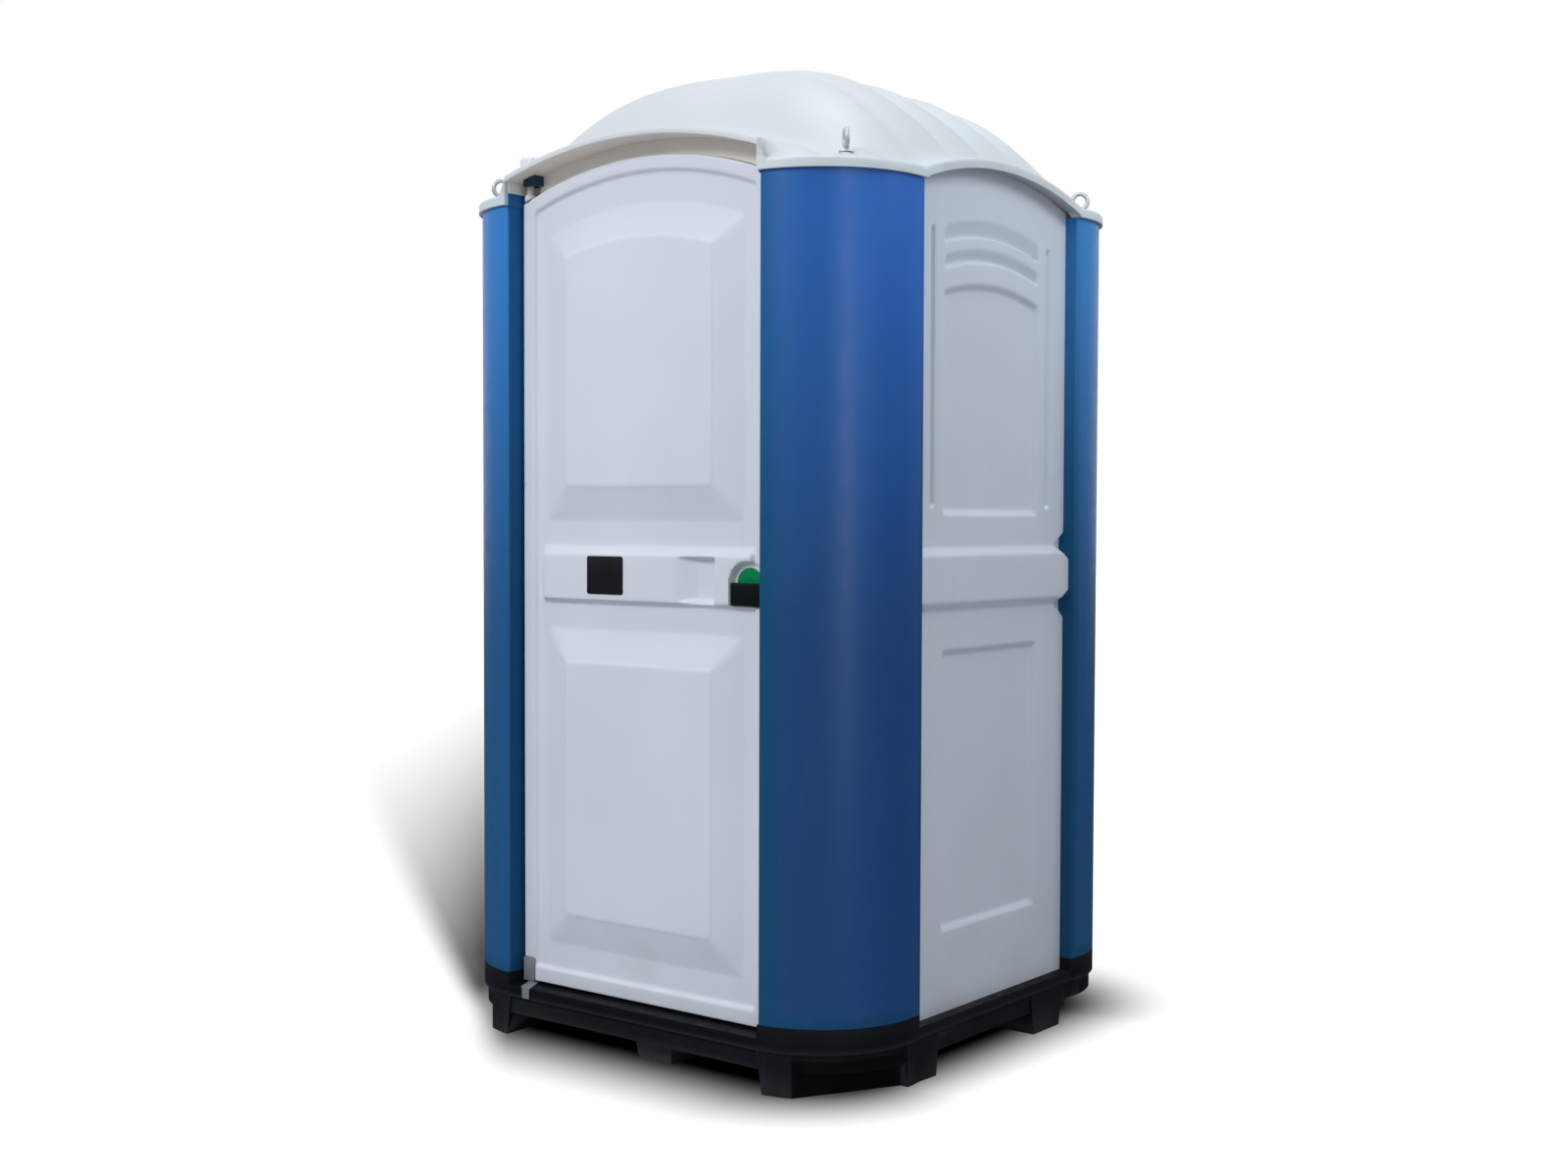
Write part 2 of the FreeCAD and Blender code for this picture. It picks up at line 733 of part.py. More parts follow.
def door_outer_skin():
    back = -(half_d - door_recess) + door_thickness
    outer = door_block(0.0, 0.0, back)
    outer = outer.cut([pull_scoop(0.0, 0.0), latch_pocket(0.0, 0.0)])
    hollow = door_block(door_skin, door_skin, back + 5)
    hollow = hollow.cut([pull_scoop(door_skin, door_skin), latch_pocket(door_skin, door_skin)])
    skin = outer.cut(hollow)
    way = bolt_way(door_half() - 20, door_half() + 5, bolt_way_gap)
    bore = cylinder(spindle_radius + bore_clearance, V(latch_x, -half_d, latch_z), V(0, 1, 0), 75)
    skin = skin.cut([way, bore])
    return sorted(skin.Solids, key=lambda s: s.Volume)[-1]


def door_inner_skin():
    """Flat inner sheet, seated inside the outer skin's edge."""
    back = -(half_d - door_recess) + door_thickness
    grow = door_skin
    sheet = prism(field_wire(door_half() - grow, door_bottom + grow, door_crest - grow,
                             door_arch_radius - grow, back - door_skin), V(0, door_skin, 0))
    hole = cylinder(spindle_radius + bore_clearance, V(latch_x, back - 20, latch_z), V(0, 1, 0), 40)
    return sheet.cut(hole)


def hinge_pins():
    """Pivot pins: the upper one has a collar that sits on the leaf's arched top, the lower a square end."""
    seat = door_crest - sag(door_arch_radius, abs(hinge_x))
    under_hood = front_arch_crest - sag(front_arch_radius, abs(hinge_x) + hinge_pin_radius)
    top_end = under_hood - hinge_pin_end_gap
    start = V(hinge_x, hinge_y, seat - hinge_collar_height)
    upper = cylinder(hinge_pin_radius, start, V(0, 0, 1), top_end - start.z)
    collar = cylinder(hinge_pin_radius + hinge_collar_width, start, V(0, 0, 1), 2 * hinge_collar_height)
    leaf = arch_block(door_half(), door_crest, door_arch_radius, door_bottom, -half_d, cabin_depth)
    lower_start = rim_top - hinge_socket_depth + hinge_pin_end_gap
    lower = cylinder(hinge_pin_radius, V(hinge_x, hinge_y, lower_start), V(0, 0, 1),
                     door_bottom - lower_start)
    return upper.fuse(collar).cut(leaf).removeSplitter(), lower


def hinge_bearing_top():
    """Block under the hood that holds the upper pin."""
    high = front_arch_crest - sag(front_arch_radius, abs(hinge_x) - 18)
    low = front_arch_crest - sag(front_arch_radius, abs(hinge_x)) - 24
    block = box(hinge_x - 17, hinge_x + 17, hinge_y - 17, hinge_y + 17, low, high)
    air = arch_block(column_inner_x, front_arch_crest, front_arch_radius, low - 5, hinge_y - 30, 60)
    bore = cylinder(hinge_pin_radius + bore_clearance, V(hinge_x, hinge_y, low - 5), V(0, 0, 1), 60)
    return block.common(air).cut(bore)


def hinge_cap():
    """White cap on top of the hood over the upper pin."""
    crest = front_arch_crest + hood_thickness
    radius = front_arch_radius + hood_thickness
    low = crest - sag(radius, abs(hinge_x) + 18) - 2
    high = crest - sag(radius, abs(hinge_x)) + 26
    block = box(hinge_x - 17, hinge_x + 17, hinge_y - 17, hinge_y + 17, low, high)
    upper = [e for e in block.Edges if e.BoundBox.ZMin > high - 0.1]
    block = block.makeChamfer(4.0, upper)
    hood = arch_block(column_inner_x + hood_thickness, crest, radius, low - 40, hinge_y - 60, 120)
    return block.cut(hood)


def hinge_bracket_bottom():
    """Steel angle on the sill: a plate on the rim's front and a shelf under the door's pin."""
    shelf = box(hinge_x - 14, hinge_x + 14, -half_d - 3, hinge_y + 16, rim_top, rim_top + 3)
    plate = box(hinge_x - 11, hinge_x + 11, -half_d - 3, -half_d, rim_bottom + 2, rim_top + 3)
    bore = cylinder(hinge_pin_radius + bore_clearance, V(hinge_x, hinge_y, rim_top - 5), V(0, 0, 1), 20)
    return shelf.fuse(plate).cut(bore)


def hinge_strap():
    """Steel strap on the foot of the hinge stile."""
    face = -(half_d - door_recess) - door_lip
    top = door_bottom + strap_height
    strap = box(hinge_x - 10, hinge_x + 10, face - 3, face, door_bottom, top)
    edges = [e for e in strap.Edges if e.BoundBox.YLength > 1 and e.BoundBox.ZMin > top - 1]
    return strap.makeChamfer(3.0, edges)


def strike_plate():
    """Steel plate round the bolt's slot in the latch side column."""
    y = bolt_y()
    plate = box(column_inner_x - strike_thickness, column_inner_x, y - strike_half_width,
                y + strike_half_width, latch_z - strike_half_height, latch_z + strike_half_height)
    return plate.cut(bolt_slot())


def bolt_way(x0, x1, gap):
    """Room for the bolt from x0 to x1, with a gap all round it."""
    y = bolt_y()
    reach_y = bolt_thickness / 2 + gap
    reach_z = bolt_height / 2 + gap
    return box(x0, x1, y - reach_y, y + reach_y, latch_z - reach_z, latch_z + reach_z)


def bolt_slot():
    return bolt_way(column_inner_x - 2 * strike_thickness, column_inner_x + 4 * column_wall, strike_gap)


def door_stop_strip():
    """Rubber strip on the stop lip beside the latch."""
    y0 = -(half_d - door_recess - door_stop_depth)
    back = -(half_d - door_recess) + door_thickness
    return box(column_inner_x - door_stop_lip, column_inner_x, back + stop_strip_gap, y0,
               column_foot + stop_strip_margin, column_top - stop_strip_margin)


def sign_plate():
    face = -(half_d - door_recess) - band_proud
    plate = box(sign_left, sign_left + sign_width, face - sign_thickness, face, sign_bottom,
                sign_bottom + sign_height)
    corners = [e for e in plate.Edges if e.BoundBox.YLength > sign_thickness - 0.1]
    return plate.makeFillet(sign_corner, corners)


def latch_block():
    """Dark outer housing over the lower half of the indicator."""
    face = -(half_d - door_recess)
    top = latch_z - 2
    low = latch_recess_bottom + 2
    x0 = latch_x - latch_block_width / 2
    x1 = latch_x + latch_block_width / 2
    front = face - indicator_thickness - 1 - latch_block_depth
    block = box(x0, x1, front, face - indicator_thickness - 1, low, top)
    edges = [e for e in block.Edges if e.BoundBox.YMax < front + 0.1]
    block = block.makeChamfer(4.0, edges)
    feet = [box(x0 + 1, x0 + 6, face - indicator_thickness - 2, face, low + 4, top - 4),
            box(x1 - 6, x1 - 1, face - indicator_thickness - 2, face, low + 4, top - 4)]
    bore = cylinder(spindle_radius + 3, V(latch_x, front + 5, latch_z), V(0, 1, 0), 30)
    return block.fuse(feet).cut(bore).removeSplitter()


def indicator_half(upper):
    """Half disc of the vacant and engaged indicator."""
    face = -(half_d - door_recess)
    y0 = face - indicator_thickness - 0.4
    disc = cylinder(indicator_radius, V(latch_x, y0, latch_z), V(0, 1, 0), indicator_thickness)
    disc = disc.cut(cylinder(spindle_radius, V(latch_x, y0 - 1, latch_z), V(0, 1, 0), 10))
    r = indicator_radius + 1
    z = (latch_z, latch_z + r) if upper else (latch_z - r, latch_z)
    return disc.common(box(latch_x - r, latch_x + r, y0 - 1, y0 + 10, z[0], z[1]))


def latch_spindle():
    face = -(half_d - door_recess)
    y0 = face - indicator_thickness - 0.4
    back = face + door_thickness
    return cylinder(spindle_radius, V(latch_x, y0, latch_z), V(0, 1, 0), back - y0 + 20)


def latch_knob():
    """Inner turn knob: a boss with a grip bar across it."""
    back = -(half_d - door_recess) + door_thickness
    start = back + 4.4
    boss = cylinder(knob_radius, V(latch_x, start, latch_z), V(0, 1, 0), 10)
    grip = box(latch_x - 7, latch_x + 7, start + 9, start + 28, latch_z - 34, latch_z + 34)
    edges = [e for e in grip.Edges if e.BoundBox.YLength > 1]
    grip = grip.makeFillet(5.0, edges)
    bore = cylinder(spindle_radius, V(latch_x, start - 1, latch_z), V(0, 1, 0), back + 20 - start + 1)
    return boss.fuse(grip).cut(bore).removeSplitter()


def latch_rose():
    """Round plate on the inner skin behind the knob."""
    back = -(half_d - door_recess) + door_thickness
    plate = cylinder(knob_radius + 12, V(latch_x, back, latch_z), V(0, 1, 0), 4)
    return plate.cut(cylinder(spindle_radius + bore_clearance, V(latch_x, back - 1, latch_z), V(0, 1, 0), 10))


def latch_bolt():
    y = bolt_y()
    end = door_half() - 1
    bar = box(end - bolt_length, end, y - bolt_thickness / 2, y + bolt_thickness / 2,
              latch_z - bolt_height / 2, latch_z + bolt_height / 2)
    r = spindle_radius + 1
    slot = box(latch_x - r - latch_throw, latch_x + r, y - 20, y + 20, latch_z - r, latch_z + r)
    return bar.cut(slot)


def bolt_guide():
    """U guide that carries the bolt, fixed to the inner skin."""
    back = -(half_d - door_recess) + door_thickness - door_skin
    x0 = latch_x + knob_radius - 2
    x1 = x0 + bolt_guide_length
    reach_z = bolt_height / 2 + bolt_guide_gap + bolt_guide_wall
    front = bolt_y() - bolt_thickness / 2 - bolt_guide_gap - bolt_guide_wall * 0.6
    outer = box(x0, x1, front, back, latch_z - reach_z, latch_z + reach_z)
    return outer.cut(bolt_way(x0 - 1, x1 + 1, bolt_guide_gap))


def floor_pan():
    """Thin floor tray with anti-slip ribs, inside the walls and between the columns."""
    side = half_w - wall_recess - column_flange - floor_gap
    rear = half_d - wall_recess - column_flange - floor_gap
    narrow = column_inner_x - floor_gap
    points = [(-narrow, -floor_front), (narrow, -floor_front), (side, -column_inner_y),
              (side, column_inner_y), (narrow, rear), (-narrow, rear),
              (-side, column_inner_y), (-side, -column_inner_y)]
    sheet = prism(polygon([(x, y, rim_top) for x, y in points]), V(0, 0, floor_sheet))
    z = rim_top + floor_sheet
    ribs = []
    count = 11
    run = tank_front + floor_front - 60
    for i in range(count):
        y = -floor_front + 30 + run * i / (count - 1)
        half = column_inner_x - 30
        ribs.append(box(-half, half, y - 5, y + 5, z, z + floor_rib))
    return sheet.fuse(ribs)


def tank_outline(grow, z):
    side = half_w - wall_recess - column_flange - tank_side_gap + grow
    rear = half_d - wall_recess - column_flange - tank_side_gap + grow
    front = tank_front - grow
    y_break = column_inner_y - 6 + grow * 0.4
    x_break = column_inner_x - 6 + grow * 0.4
    bow = 46.0
    left = V(-side, front + bow, z)
    right = V(side, front + bow, z)
    edges = [Part.Arc(left, V(0, front, z), right).toShape()]
    corners = [right, V(side, y_break, z), V(x_break, rear, z), V(-x_break, rear, z),
               V(-side, y_break, z), left]
    edges += [Part.LineSegment(corners[i], corners[i + 1]).toShape() for i in range(5)]
    return Part.Wire(edges)


def oval_block(half_x, half_y, y, z0, z1):
    """Block whose outline is two half rounds joined by straight sides along Y."""
    run = half_y - half_x
    corners = [V(half_x, y - run, z0), V(half_x, y + run, z0), V(-half_x, y + run, z0),
               V(-half_x, y - run, z0)]
    edges = [Part.LineSegment(corners[0], corners[1]).toShape(),
             Part.Arc(corners[1], V(0, y + half_y, z0), corners[2]).toShape(),
             Part.LineSegment(corners[2], corners[3]).toShape(),
             Part.Arc(corners[3], V(0, y - half_y, z0), corners[0]).toShape()]
    return prism(Part.Wire(edges), V(0, 0, z1 - z0))


def waste_tank():
    """Holding tank across the back, with the seat's opening in its top and the vent's beside it."""
    z0 = rim_top + floor_sheet
    outer = prism(tank_outline(0.0, z0), V(0, 0, tank_top - z0))
    inner = prism(tank_outline(-tank_wall, z0 + tank_wall), V(0, 0, tank_top - z0 - 2 * tank_wall))
    opening = oval_block(seat_hole_half_x, seat_hole_half_y, seat_y, tank_top - 20, tank_top + 5)
    vent = cylinder(vent_radius + 0.5, V(vent_x, vent_y, tank_top - 20), V(0, 0, 1), 40)
    return outer.cut([inner, opening, vent])


def seat_rear():
    return seat_y + seat_hole_half_y + seat_ring_width


def seat_axis():
    """Y and Z of the hinge that the seat and the lid share."""
    return seat_rear() + seat_hinge_behind, tank_top + seat_gap + seat_hinge_rise


def seat_plate(thickness, z0):
    half_x = seat_hole_half_x + seat_ring_width
    half_y = seat_hole_half_y + seat_ring_width
    plate = oval_block(half_x, half_y, seat_y, z0, z0 + thickness)
    upper = [e for e in plate.Edges if e.BoundBox.ZMin > z0 + thickness - 0.1]
    return plate.makeChamfer(seat_edge_chamfer, upper)


def hinge_ears(at, z_low, z_high):
    """A pair of ears with knuckles, from under the plate's rear edge to the hinge axis."""
    y, z = seat_axis()
    ears = []
    for side in (-1, 1):
        x = side * at - seat_ear_width / 2
        arm = box(x, x + seat_ear_width, seat_rear() - 40, y, z_low, z_high)
        ears.append(arm.fuse(cylinder(seat_knuckle_radius, V(x, y, z), V(1, 0, 0), seat_ear_width)))
    return ears


def seat_bore():
    y, z = seat_axis()
    reach = seat_post_at + seat_ear_width
    return cylinder(seat_pin_radius + bore_clearance, V(-reach, y, z), V(1, 0, 0), 2 * reach)


def seat_ring():
    """Seat with two ears round the hinge pin."""
    z0 = tank_top + seat_gap
    ring = seat_plate(seat_thickness, z0)
    ring = ring.cut(oval_block(seat_hole_half_x, seat_hole_half_y, seat_y, z0 - 5, z0 + seat_thickness + 5))
    ring = ring.fuse(hinge_ears(seat_ear_at, z0 + 3, z0 + seat_thickness - 3)).removeSplitter()
    return ring.cut(seat_bore())


def seat_lid():
    """Lid with two ears inside the seat's, turned up against the back wall."""
    z0 = tank_top + seat_gap + seat_thickness + lid_gap
    lid = seat_plate(lid_thickness, z0)
    ears = hinge_ears(lid_ear_at, z0 - 4, z0 + lid_thickness - 4)
    trim = box(-half_w, half_w, 0, seat_rear() + 1, z0 - 10, z0)
    ears = [ear.cut(trim) for ear in ears]
    lid = lid.fuse(ears).removeSplitter().cut(seat_bore())
    y, z = seat_axis()
    lid.rotate(V(0, y, z), V(1, 0, 0), -lid_open)
    return lid


def seat_hinge_pin():
    y, z = seat_axis()
    reach = seat_post_at + seat_ear_width / 2 + 2
    return cylinder(seat_pin_radius, V(-reach, y, z), V(1, 0, 0), 2 * reach)


def seat_hinge_posts():
    """Two posts on the tank that hold the ends of the pin."""
    y, z = seat_axis()
    posts = []
    for side in (-1, 1):
        x = side * seat_post_at - seat_ear_width / 2
        post = box(x, x + seat_ear_width, y - 12, y + 12, tank_top, z + 12)
        edges = [e for e in post.Edges if e.BoundBox.ZMin > z + 11 and e.BoundBox.XLength > 1]
        post = post.makeFillet(6.0, edges)
        posts.append(post.cut(cylinder(seat_pin_radius, V(x - 5, y, z), V(1, 0, 0), 30)))
    return posts


def vent_top():
    return dome_height(vent_x, vent_y) + vent_above_roof


def vent_pipe():
    top = vent_top()
    z0 = tank_top - tank_wall
    pipe = cylinder(vent_radius, V(vent_x, vent_y, z0), V(0, 0, 1), top - z0)
    return pipe.cut(cylinder(vent_radius - vent_wall, V(vent_x, vent_y, z0 - 1), V(0, 0, 1), top - z0 + 2))


def vent_cap():
    """Low rain cap on three flat legs that clip inside the pipe's end."""
    foot = V(vent_x, vent_y, vent_top())
    disc = cylinder(vent_radius + vent_cap_overhang, foot + V(0, 0, vent_cap_lift), V(0, 0, 1), vent_cap_edge)
    cone = Part.makeCone(vent_radius + vent_cap_overhang - 4, vent_cap_edge * 3, vent_cap_rise,
                         foot + V(0, 0, vent_cap_lift + vent_cap_edge), V(0, 0, 1))
    half = vent_leg_width / 2
    reach = math.sqrt((vent_radius - vent_wall) ** 2 - half ** 2) - vent_leg_gap
    legs = []
    for i in range(3):
        leg = box(reach - vent_leg_thickness, reach, -half, half, -vent_cap_lift, vent_cap_lift)
        leg.rotate(V(0, 0, 0), V(0, 0, 1), 120 * i)
        leg.translate(foot)
        legs.append(leg)
    return disc.fuse([cone] + legs).removeSplitter()


def vent_clips():
    """Two clips round the pipe, each with an arm to the side wall's margin."""
    wall_x = -(half_w - wall_recess - wall_sheet)
    reach = vent_radius + vent_clip_wall
    front = vent_y - reach
    clips = []
    for z in vent_clip_heights:
        top = z + vent_clip_height
        block = box(vent_x - reach, vent_x + reach, front, vent_y + reach, z, top)
        arm = box(wall_x, vent_x, front, front + vent_clip_arm, z, top)
        bore = cylinder(vent_radius, V(vent_x, vent_y, z), V(0, 0, 1), vent_clip_height)
        clips.append(block.fuse(arm).cut(bore).removeSplitter())
    return clips


def wall_inner_x():
    """Inner face of a side wall's lower field, which stands in by its depth."""
    return half_w - wall_recess - wall_sheet - wall_field_depth


def roll_x():
    return -(wall_inner_x() - roll_reach)


def paper_holder():
    """Backplate and two arms with the spindle's ends."""
    x0 = -wall_inner_x()
    xc = roll_x()
    reach_y = roll_width / 2 + 14
    plate = box(x0, x0 + 4, roll_y - reach_y, roll_y + reach_y, roll_z - 45, roll_z + 45)
    arms = []
    for y in (roll_y - roll_width / 2 - 8, roll_y + roll_width / 2 + 2):
        arm = box(x0, xc, y, y + 6, roll_z - 20, roll_z + 20)
        arms.append(arm.fuse(cylinder(20, V(xc, y, roll_z), V(0, 1, 0), 6)))
    spindle = cylinder(roll_core - bore_clearance, V(xc, roll_y - roll_width / 2 - 2, roll_z), V(0, 1, 0),
                       roll_width + 4)
    return plate.fuse(arms).removeSplitter(), spindle


def paper_roll():
    xc = roll_x()
    roll = cylinder(roll_radius, V(xc, roll_y - roll_width / 2, roll_z), V(0, 1, 0), roll_width)
    return roll.cut(cylinder(roll_core, V(xc, roll_y - roll_width, roll_z), V(0, 1, 0), 2 * roll_width))


def coat_hook():
    """Plate and upturned hook on the inside of the side wall."""
    x = wall_inner_x()
    plate = box(x - 4, x, hook_y - 15, hook_y + 15, hook_z - 30, hook_z + 30)
    arm = box(x - 50, x - 4, hook_y - 6, hook_y + 6, hook_z - 20, hook_z - 8)
    tip = box(x - 50, x - 38, hook_y - 6, hook_y + 6, hook_z - 20, hook_z + 18)
    return plate.fuse([arm, tip]).removeSplitter()


def lifting_eye(sx, sy):
    """Ring bolt with a round collar, its ring standing in the plane of the cabin's diagonal."""
    x = sx * eye_x
    y = sy * eye_y
    foot = eye_seat()
    seat = foot + eye_collar_height
    k = math.sqrt(0.5)
    axis = V(sx * k, -sy * k, 0)
    centre = V(x, y, seat + eye_ring_outer - 1)
    ring = cylinder(eye_ring_outer, centre - axis * (eye_ring_thickness / 2), axis, eye_ring_thickness)
    hole = cylinder(eye_ring_inner, centre - axis * eye_ring_thickness, axis, 2 * eye_ring_thickness)
    collar = cylinder(eye_collar_radius, V(x, y, foot), V(0, 0, 1), eye_collar_height)
    shank_end = column_top - eye_nut_height - eye_shank_spare
    shank = cylinder(eye_shank_radius, V(x, y, shank_end), V(0, 0, 1), seat - shank_end)
    return ring.fuse([collar, shank]).cut(hole).removeSplitter()


def eye_nut(sx, sy):
    x = sx * eye_x
    y = sy * eye_y
    r = eye_nut_radius
    low = column_top - eye_nut_height
    points = [(x + r * math.cos(i * math.pi / 3), y + r * math.sin(i * math.pi / 3), low) for i in range(6)]
    nut = prism(polygon(points), V(0, 0, eye_nut_height))
    return nut.cut(cylinder(eye_shank_radius, V(x, y, column_top - 2 * eye_nut_height), V(0, 0, 1), 40))


def save(name, *solids):
    shape = solids[0] if len(solids) == 1 else Part.makeCompound(list(solids))
    for s in solids:
        if not s.isValid():
            print("not valid:", name)
    print(name, "solids", len(shape.Solids), "volume", round(shape.Volume))
    shape.exportStep("parts/" + name + ".step")


corners = [(1, -1), (-1, -1), (1, 1), (-1, 1)]
column_front_right = column(1, -1).cut(bolt_slot())
save("base_pallet", base_pallet())
save("floor_pan", floor_pan())
save("column_front_right", column_front_right)
save("column_front_left", column(-1, -1))
save("column_back_right", column(1, 1))
save("column_back_left", column(-1, 1))
save("side_wall_right", side_wall(1))
save("side_wall_left", side_wall(-1))
save("back_wall", back_wall())
save("door_header", door_header())
save("roof_dome", roof_dome())
save("lifting_eyes", *[lifting_eye(sx, sy) for sx, sy in corners])
save("eye_nuts", *[eye_nut(sx, sy) for sx, sy in corners])
save("hinge_bearing_top", hinge_bearing_top())
save("hinge_cap", hinge_cap())
save("hinge_bracket_bottom", hinge_bracket_bottom())
save("strike_plate", strike_plate())
save("door_stop_strip", door_stop_strip())
save("waste_tank", waste_tank())
save("seat_hinge_posts", *seat_hinge_posts())
save("seat_hinge_pin", seat_hinge_pin())
save("vent_pipe", vent_pipe())
save("vent_cap", vent_cap())
save("vent_clips", *vent_clips())
holder, spindle = paper_holder()
save("paper_holder", holder)
save("paper_spindle", spindle)
save("coat_hook", coat_hook())
save("door_outer_skin", door_outer_skin())
save("door_inner_skin", door_inner_skin())
pin_top, pin_bottom = hinge_pins()
save("hinge_pin_top", pin_top)
save("hinge_pin_bottom", pin_bottom)
save("hinge_strap", hinge_strap())
save("sign_plate", sign_plate())
save("latch_block", latch_block())
save("latch_rose", latch_rose())
save("bolt_guide", bolt_guide())
save("indicator_vacant", indicator_half(True))
save("indicator_engaged", indicator_half(False))
save("latch_spindle", latch_spindle())
save("latch_knob", latch_knob())
save("latch_bolt", latch_bolt())
save("seat_ring", seat_ring())
save("seat_lid", seat_lid())
save("paper_roll", paper_roll())
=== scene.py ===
# %% [markdown]
# A portable toilet cabin stands on a black pallet base. It has four blue corner columns, pale
# formed walls, an arched door and a translucent domed roof. The CAD model fixes every size and
# every joint. This file gives the pieces their moulded forms and their finishes. The frame is
# loaded first.

# %% Load the frame
import bpy
import bmesh
import json
import math
import numpy as np
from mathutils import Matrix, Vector


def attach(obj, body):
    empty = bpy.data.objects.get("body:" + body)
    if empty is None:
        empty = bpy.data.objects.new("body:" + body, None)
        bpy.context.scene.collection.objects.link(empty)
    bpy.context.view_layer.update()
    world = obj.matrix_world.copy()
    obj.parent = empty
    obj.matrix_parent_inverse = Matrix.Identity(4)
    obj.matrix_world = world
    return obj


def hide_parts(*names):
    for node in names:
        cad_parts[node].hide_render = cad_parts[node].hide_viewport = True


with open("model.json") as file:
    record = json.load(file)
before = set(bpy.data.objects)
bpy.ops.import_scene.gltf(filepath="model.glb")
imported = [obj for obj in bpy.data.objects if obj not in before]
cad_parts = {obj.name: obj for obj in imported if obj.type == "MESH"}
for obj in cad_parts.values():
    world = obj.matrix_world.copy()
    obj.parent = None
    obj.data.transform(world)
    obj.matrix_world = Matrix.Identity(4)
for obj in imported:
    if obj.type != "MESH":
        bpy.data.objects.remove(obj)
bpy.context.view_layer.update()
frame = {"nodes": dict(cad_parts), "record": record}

MM = 0.001  # one millimetre in Blender's metres


def in_scene(name, data):
    """New object that holds the data, linked to the scene."""
    thing = bpy.data.objects.new(name, data)
    bpy.context.scene.collection.objects.link(thing)
    return thing


# %% [markdown]
# The picture is taken from a little above waist height, about 4.5 m away, with a moderate lens. The
# camera's place and turn come from a fit to the edges of the photograph, so that the two views
# overlay.

# %% Camera, in metres
camera_place = Vector((2.7373, -3.5834, 1.173))
camera_yaw = math.radians(37.697)
camera_pitch = math.radians(2.163)
camera_roll = math.radians(0.177)
sensor_width = 36.0  # millimetres
focal_pixels = 1943.8
picture_width = 1600

optics = bpy.data.cameras.new("camera")
optics.sensor_width = sensor_width
optics.lens = focal_pixels / picture_width * sensor_width
camera = in_scene("camera", optics)
camera.location = camera_place
camera.rotation_mode = "XYZ"
camera.rotation_euler = (math.pi / 2 - camera_pitch, 0.0, camera_yaw)
camera.rotation_euler.rotate_axis("Z", camera_roll)
bpy.context.scene.camera = camera
print("lens", round(optics.lens, 2), "mm")

# %% [markdown]
# A finish on moulded plastic is never one flat colour: the tone drifts over a panel, the skin has a
# fine grain, and dust and scuffs gather low down. Such a finish is a tree of many small nodes.
# Written out one by one they would hide the idea, so a small builder adds each of them by a short
# call. It serves the materials, the sky and the Geometry Nodes alike.


# %% Node tree builder
def rgba(colour):
    """A colour with its alpha, or the socket that gives the colour."""
    if isinstance(colour, bpy.types.NodeSocket):
        return colour
    return (*colour[:3], 1.0)


class Nodes:
    """Adds nodes to a tree. Each value may be a number, a colour or another node's output."""

    def __init__(self, tree):
        self.nodes = tree.nodes
        self.links = tree.links

    def put(self, socket, value):
        if isinstance(value, bpy.types.NodeSocket):
            self.links.new(value, socket)
        elif value is not None:
            socket.default_value = value

    def add(self, kind, inputs=None, **settings):
        """New node. Its settings come first, because they decide what inputs there are."""
        node = self.nodes.new(kind)
        for key, value in settings.items():
            setattr(node, key, value)
        for key, value in (inputs or {}).items():
            self.put(node.inputs[key], value)
        return node

    def math(self, operation, a, b=None):
        return self.add("ShaderNodeMath", {0: a, 1: b}, operation=operation).outputs[0]

    def plus(self, a, b):
        return self.math("ADD", a, b)

    def minus(self, a, b):
        return self.math("SUBTRACT", a, b)

    def absolute(self, a):
        return self.math("ABSOLUTE", a)

    def times(self, a, b, *more):
        product = self.math("MULTIPLY", a, b)
        for value in more:
            product = self.math("MULTIPLY", product, value)
        return product

    def most(self, a, b, *more):
        largest = self.math("MAXIMUM", a, b)
        for value in more:
            largest = self.math("MAXIMUM", largest, value)
        return largest

    def line(self, value, slope, level):
        return self.plus(self.times(value, slope), level)

    def dot(self, vector, direction):
        node = self.add("ShaderNodeVectorMath", {0: vector, 1: direction}, operation="DOT_PRODUCT")
        return node.outputs["Value"]

    def span(self, value, low, high, out_low=0.0, out_high=1.0, easing="SMOOTHSTEP"):
        """Carries low to high over to out_low to out_high, and holds the ends."""
        ends = {"Value": value, "From Min": low, "From Max": high,
                "To Min": out_low, "To Max": out_high}
        return self.add("ShaderNodeMapRange", ends, interpolation_type=easing).outputs["Result"]

    def blend(self, factor, a, b):
        """A number between two numbers."""
        return self.add("ShaderNodeMix", {"Factor": factor, "A": a, "B": b}).outputs["Result"]

    def mix(self, factor, a, b):
        """A colour between two colours."""
        colours = {"Factor": factor, "A": rgba(a), "B": rgba(b)}
        return self.add("ShaderNodeMix", colours, data_type="RGBA").outputs["Result"]


print("node builder ready")

# %% [markdown]
# Every finish reads Object coordinates, so that the pattern stays with the piece when it moves. All
# of them share a few moves: a noise, possibly stretched along an axis, a position along an axis,
# worn edges and a bump. These belong to a finish alone, so they extend the builder.


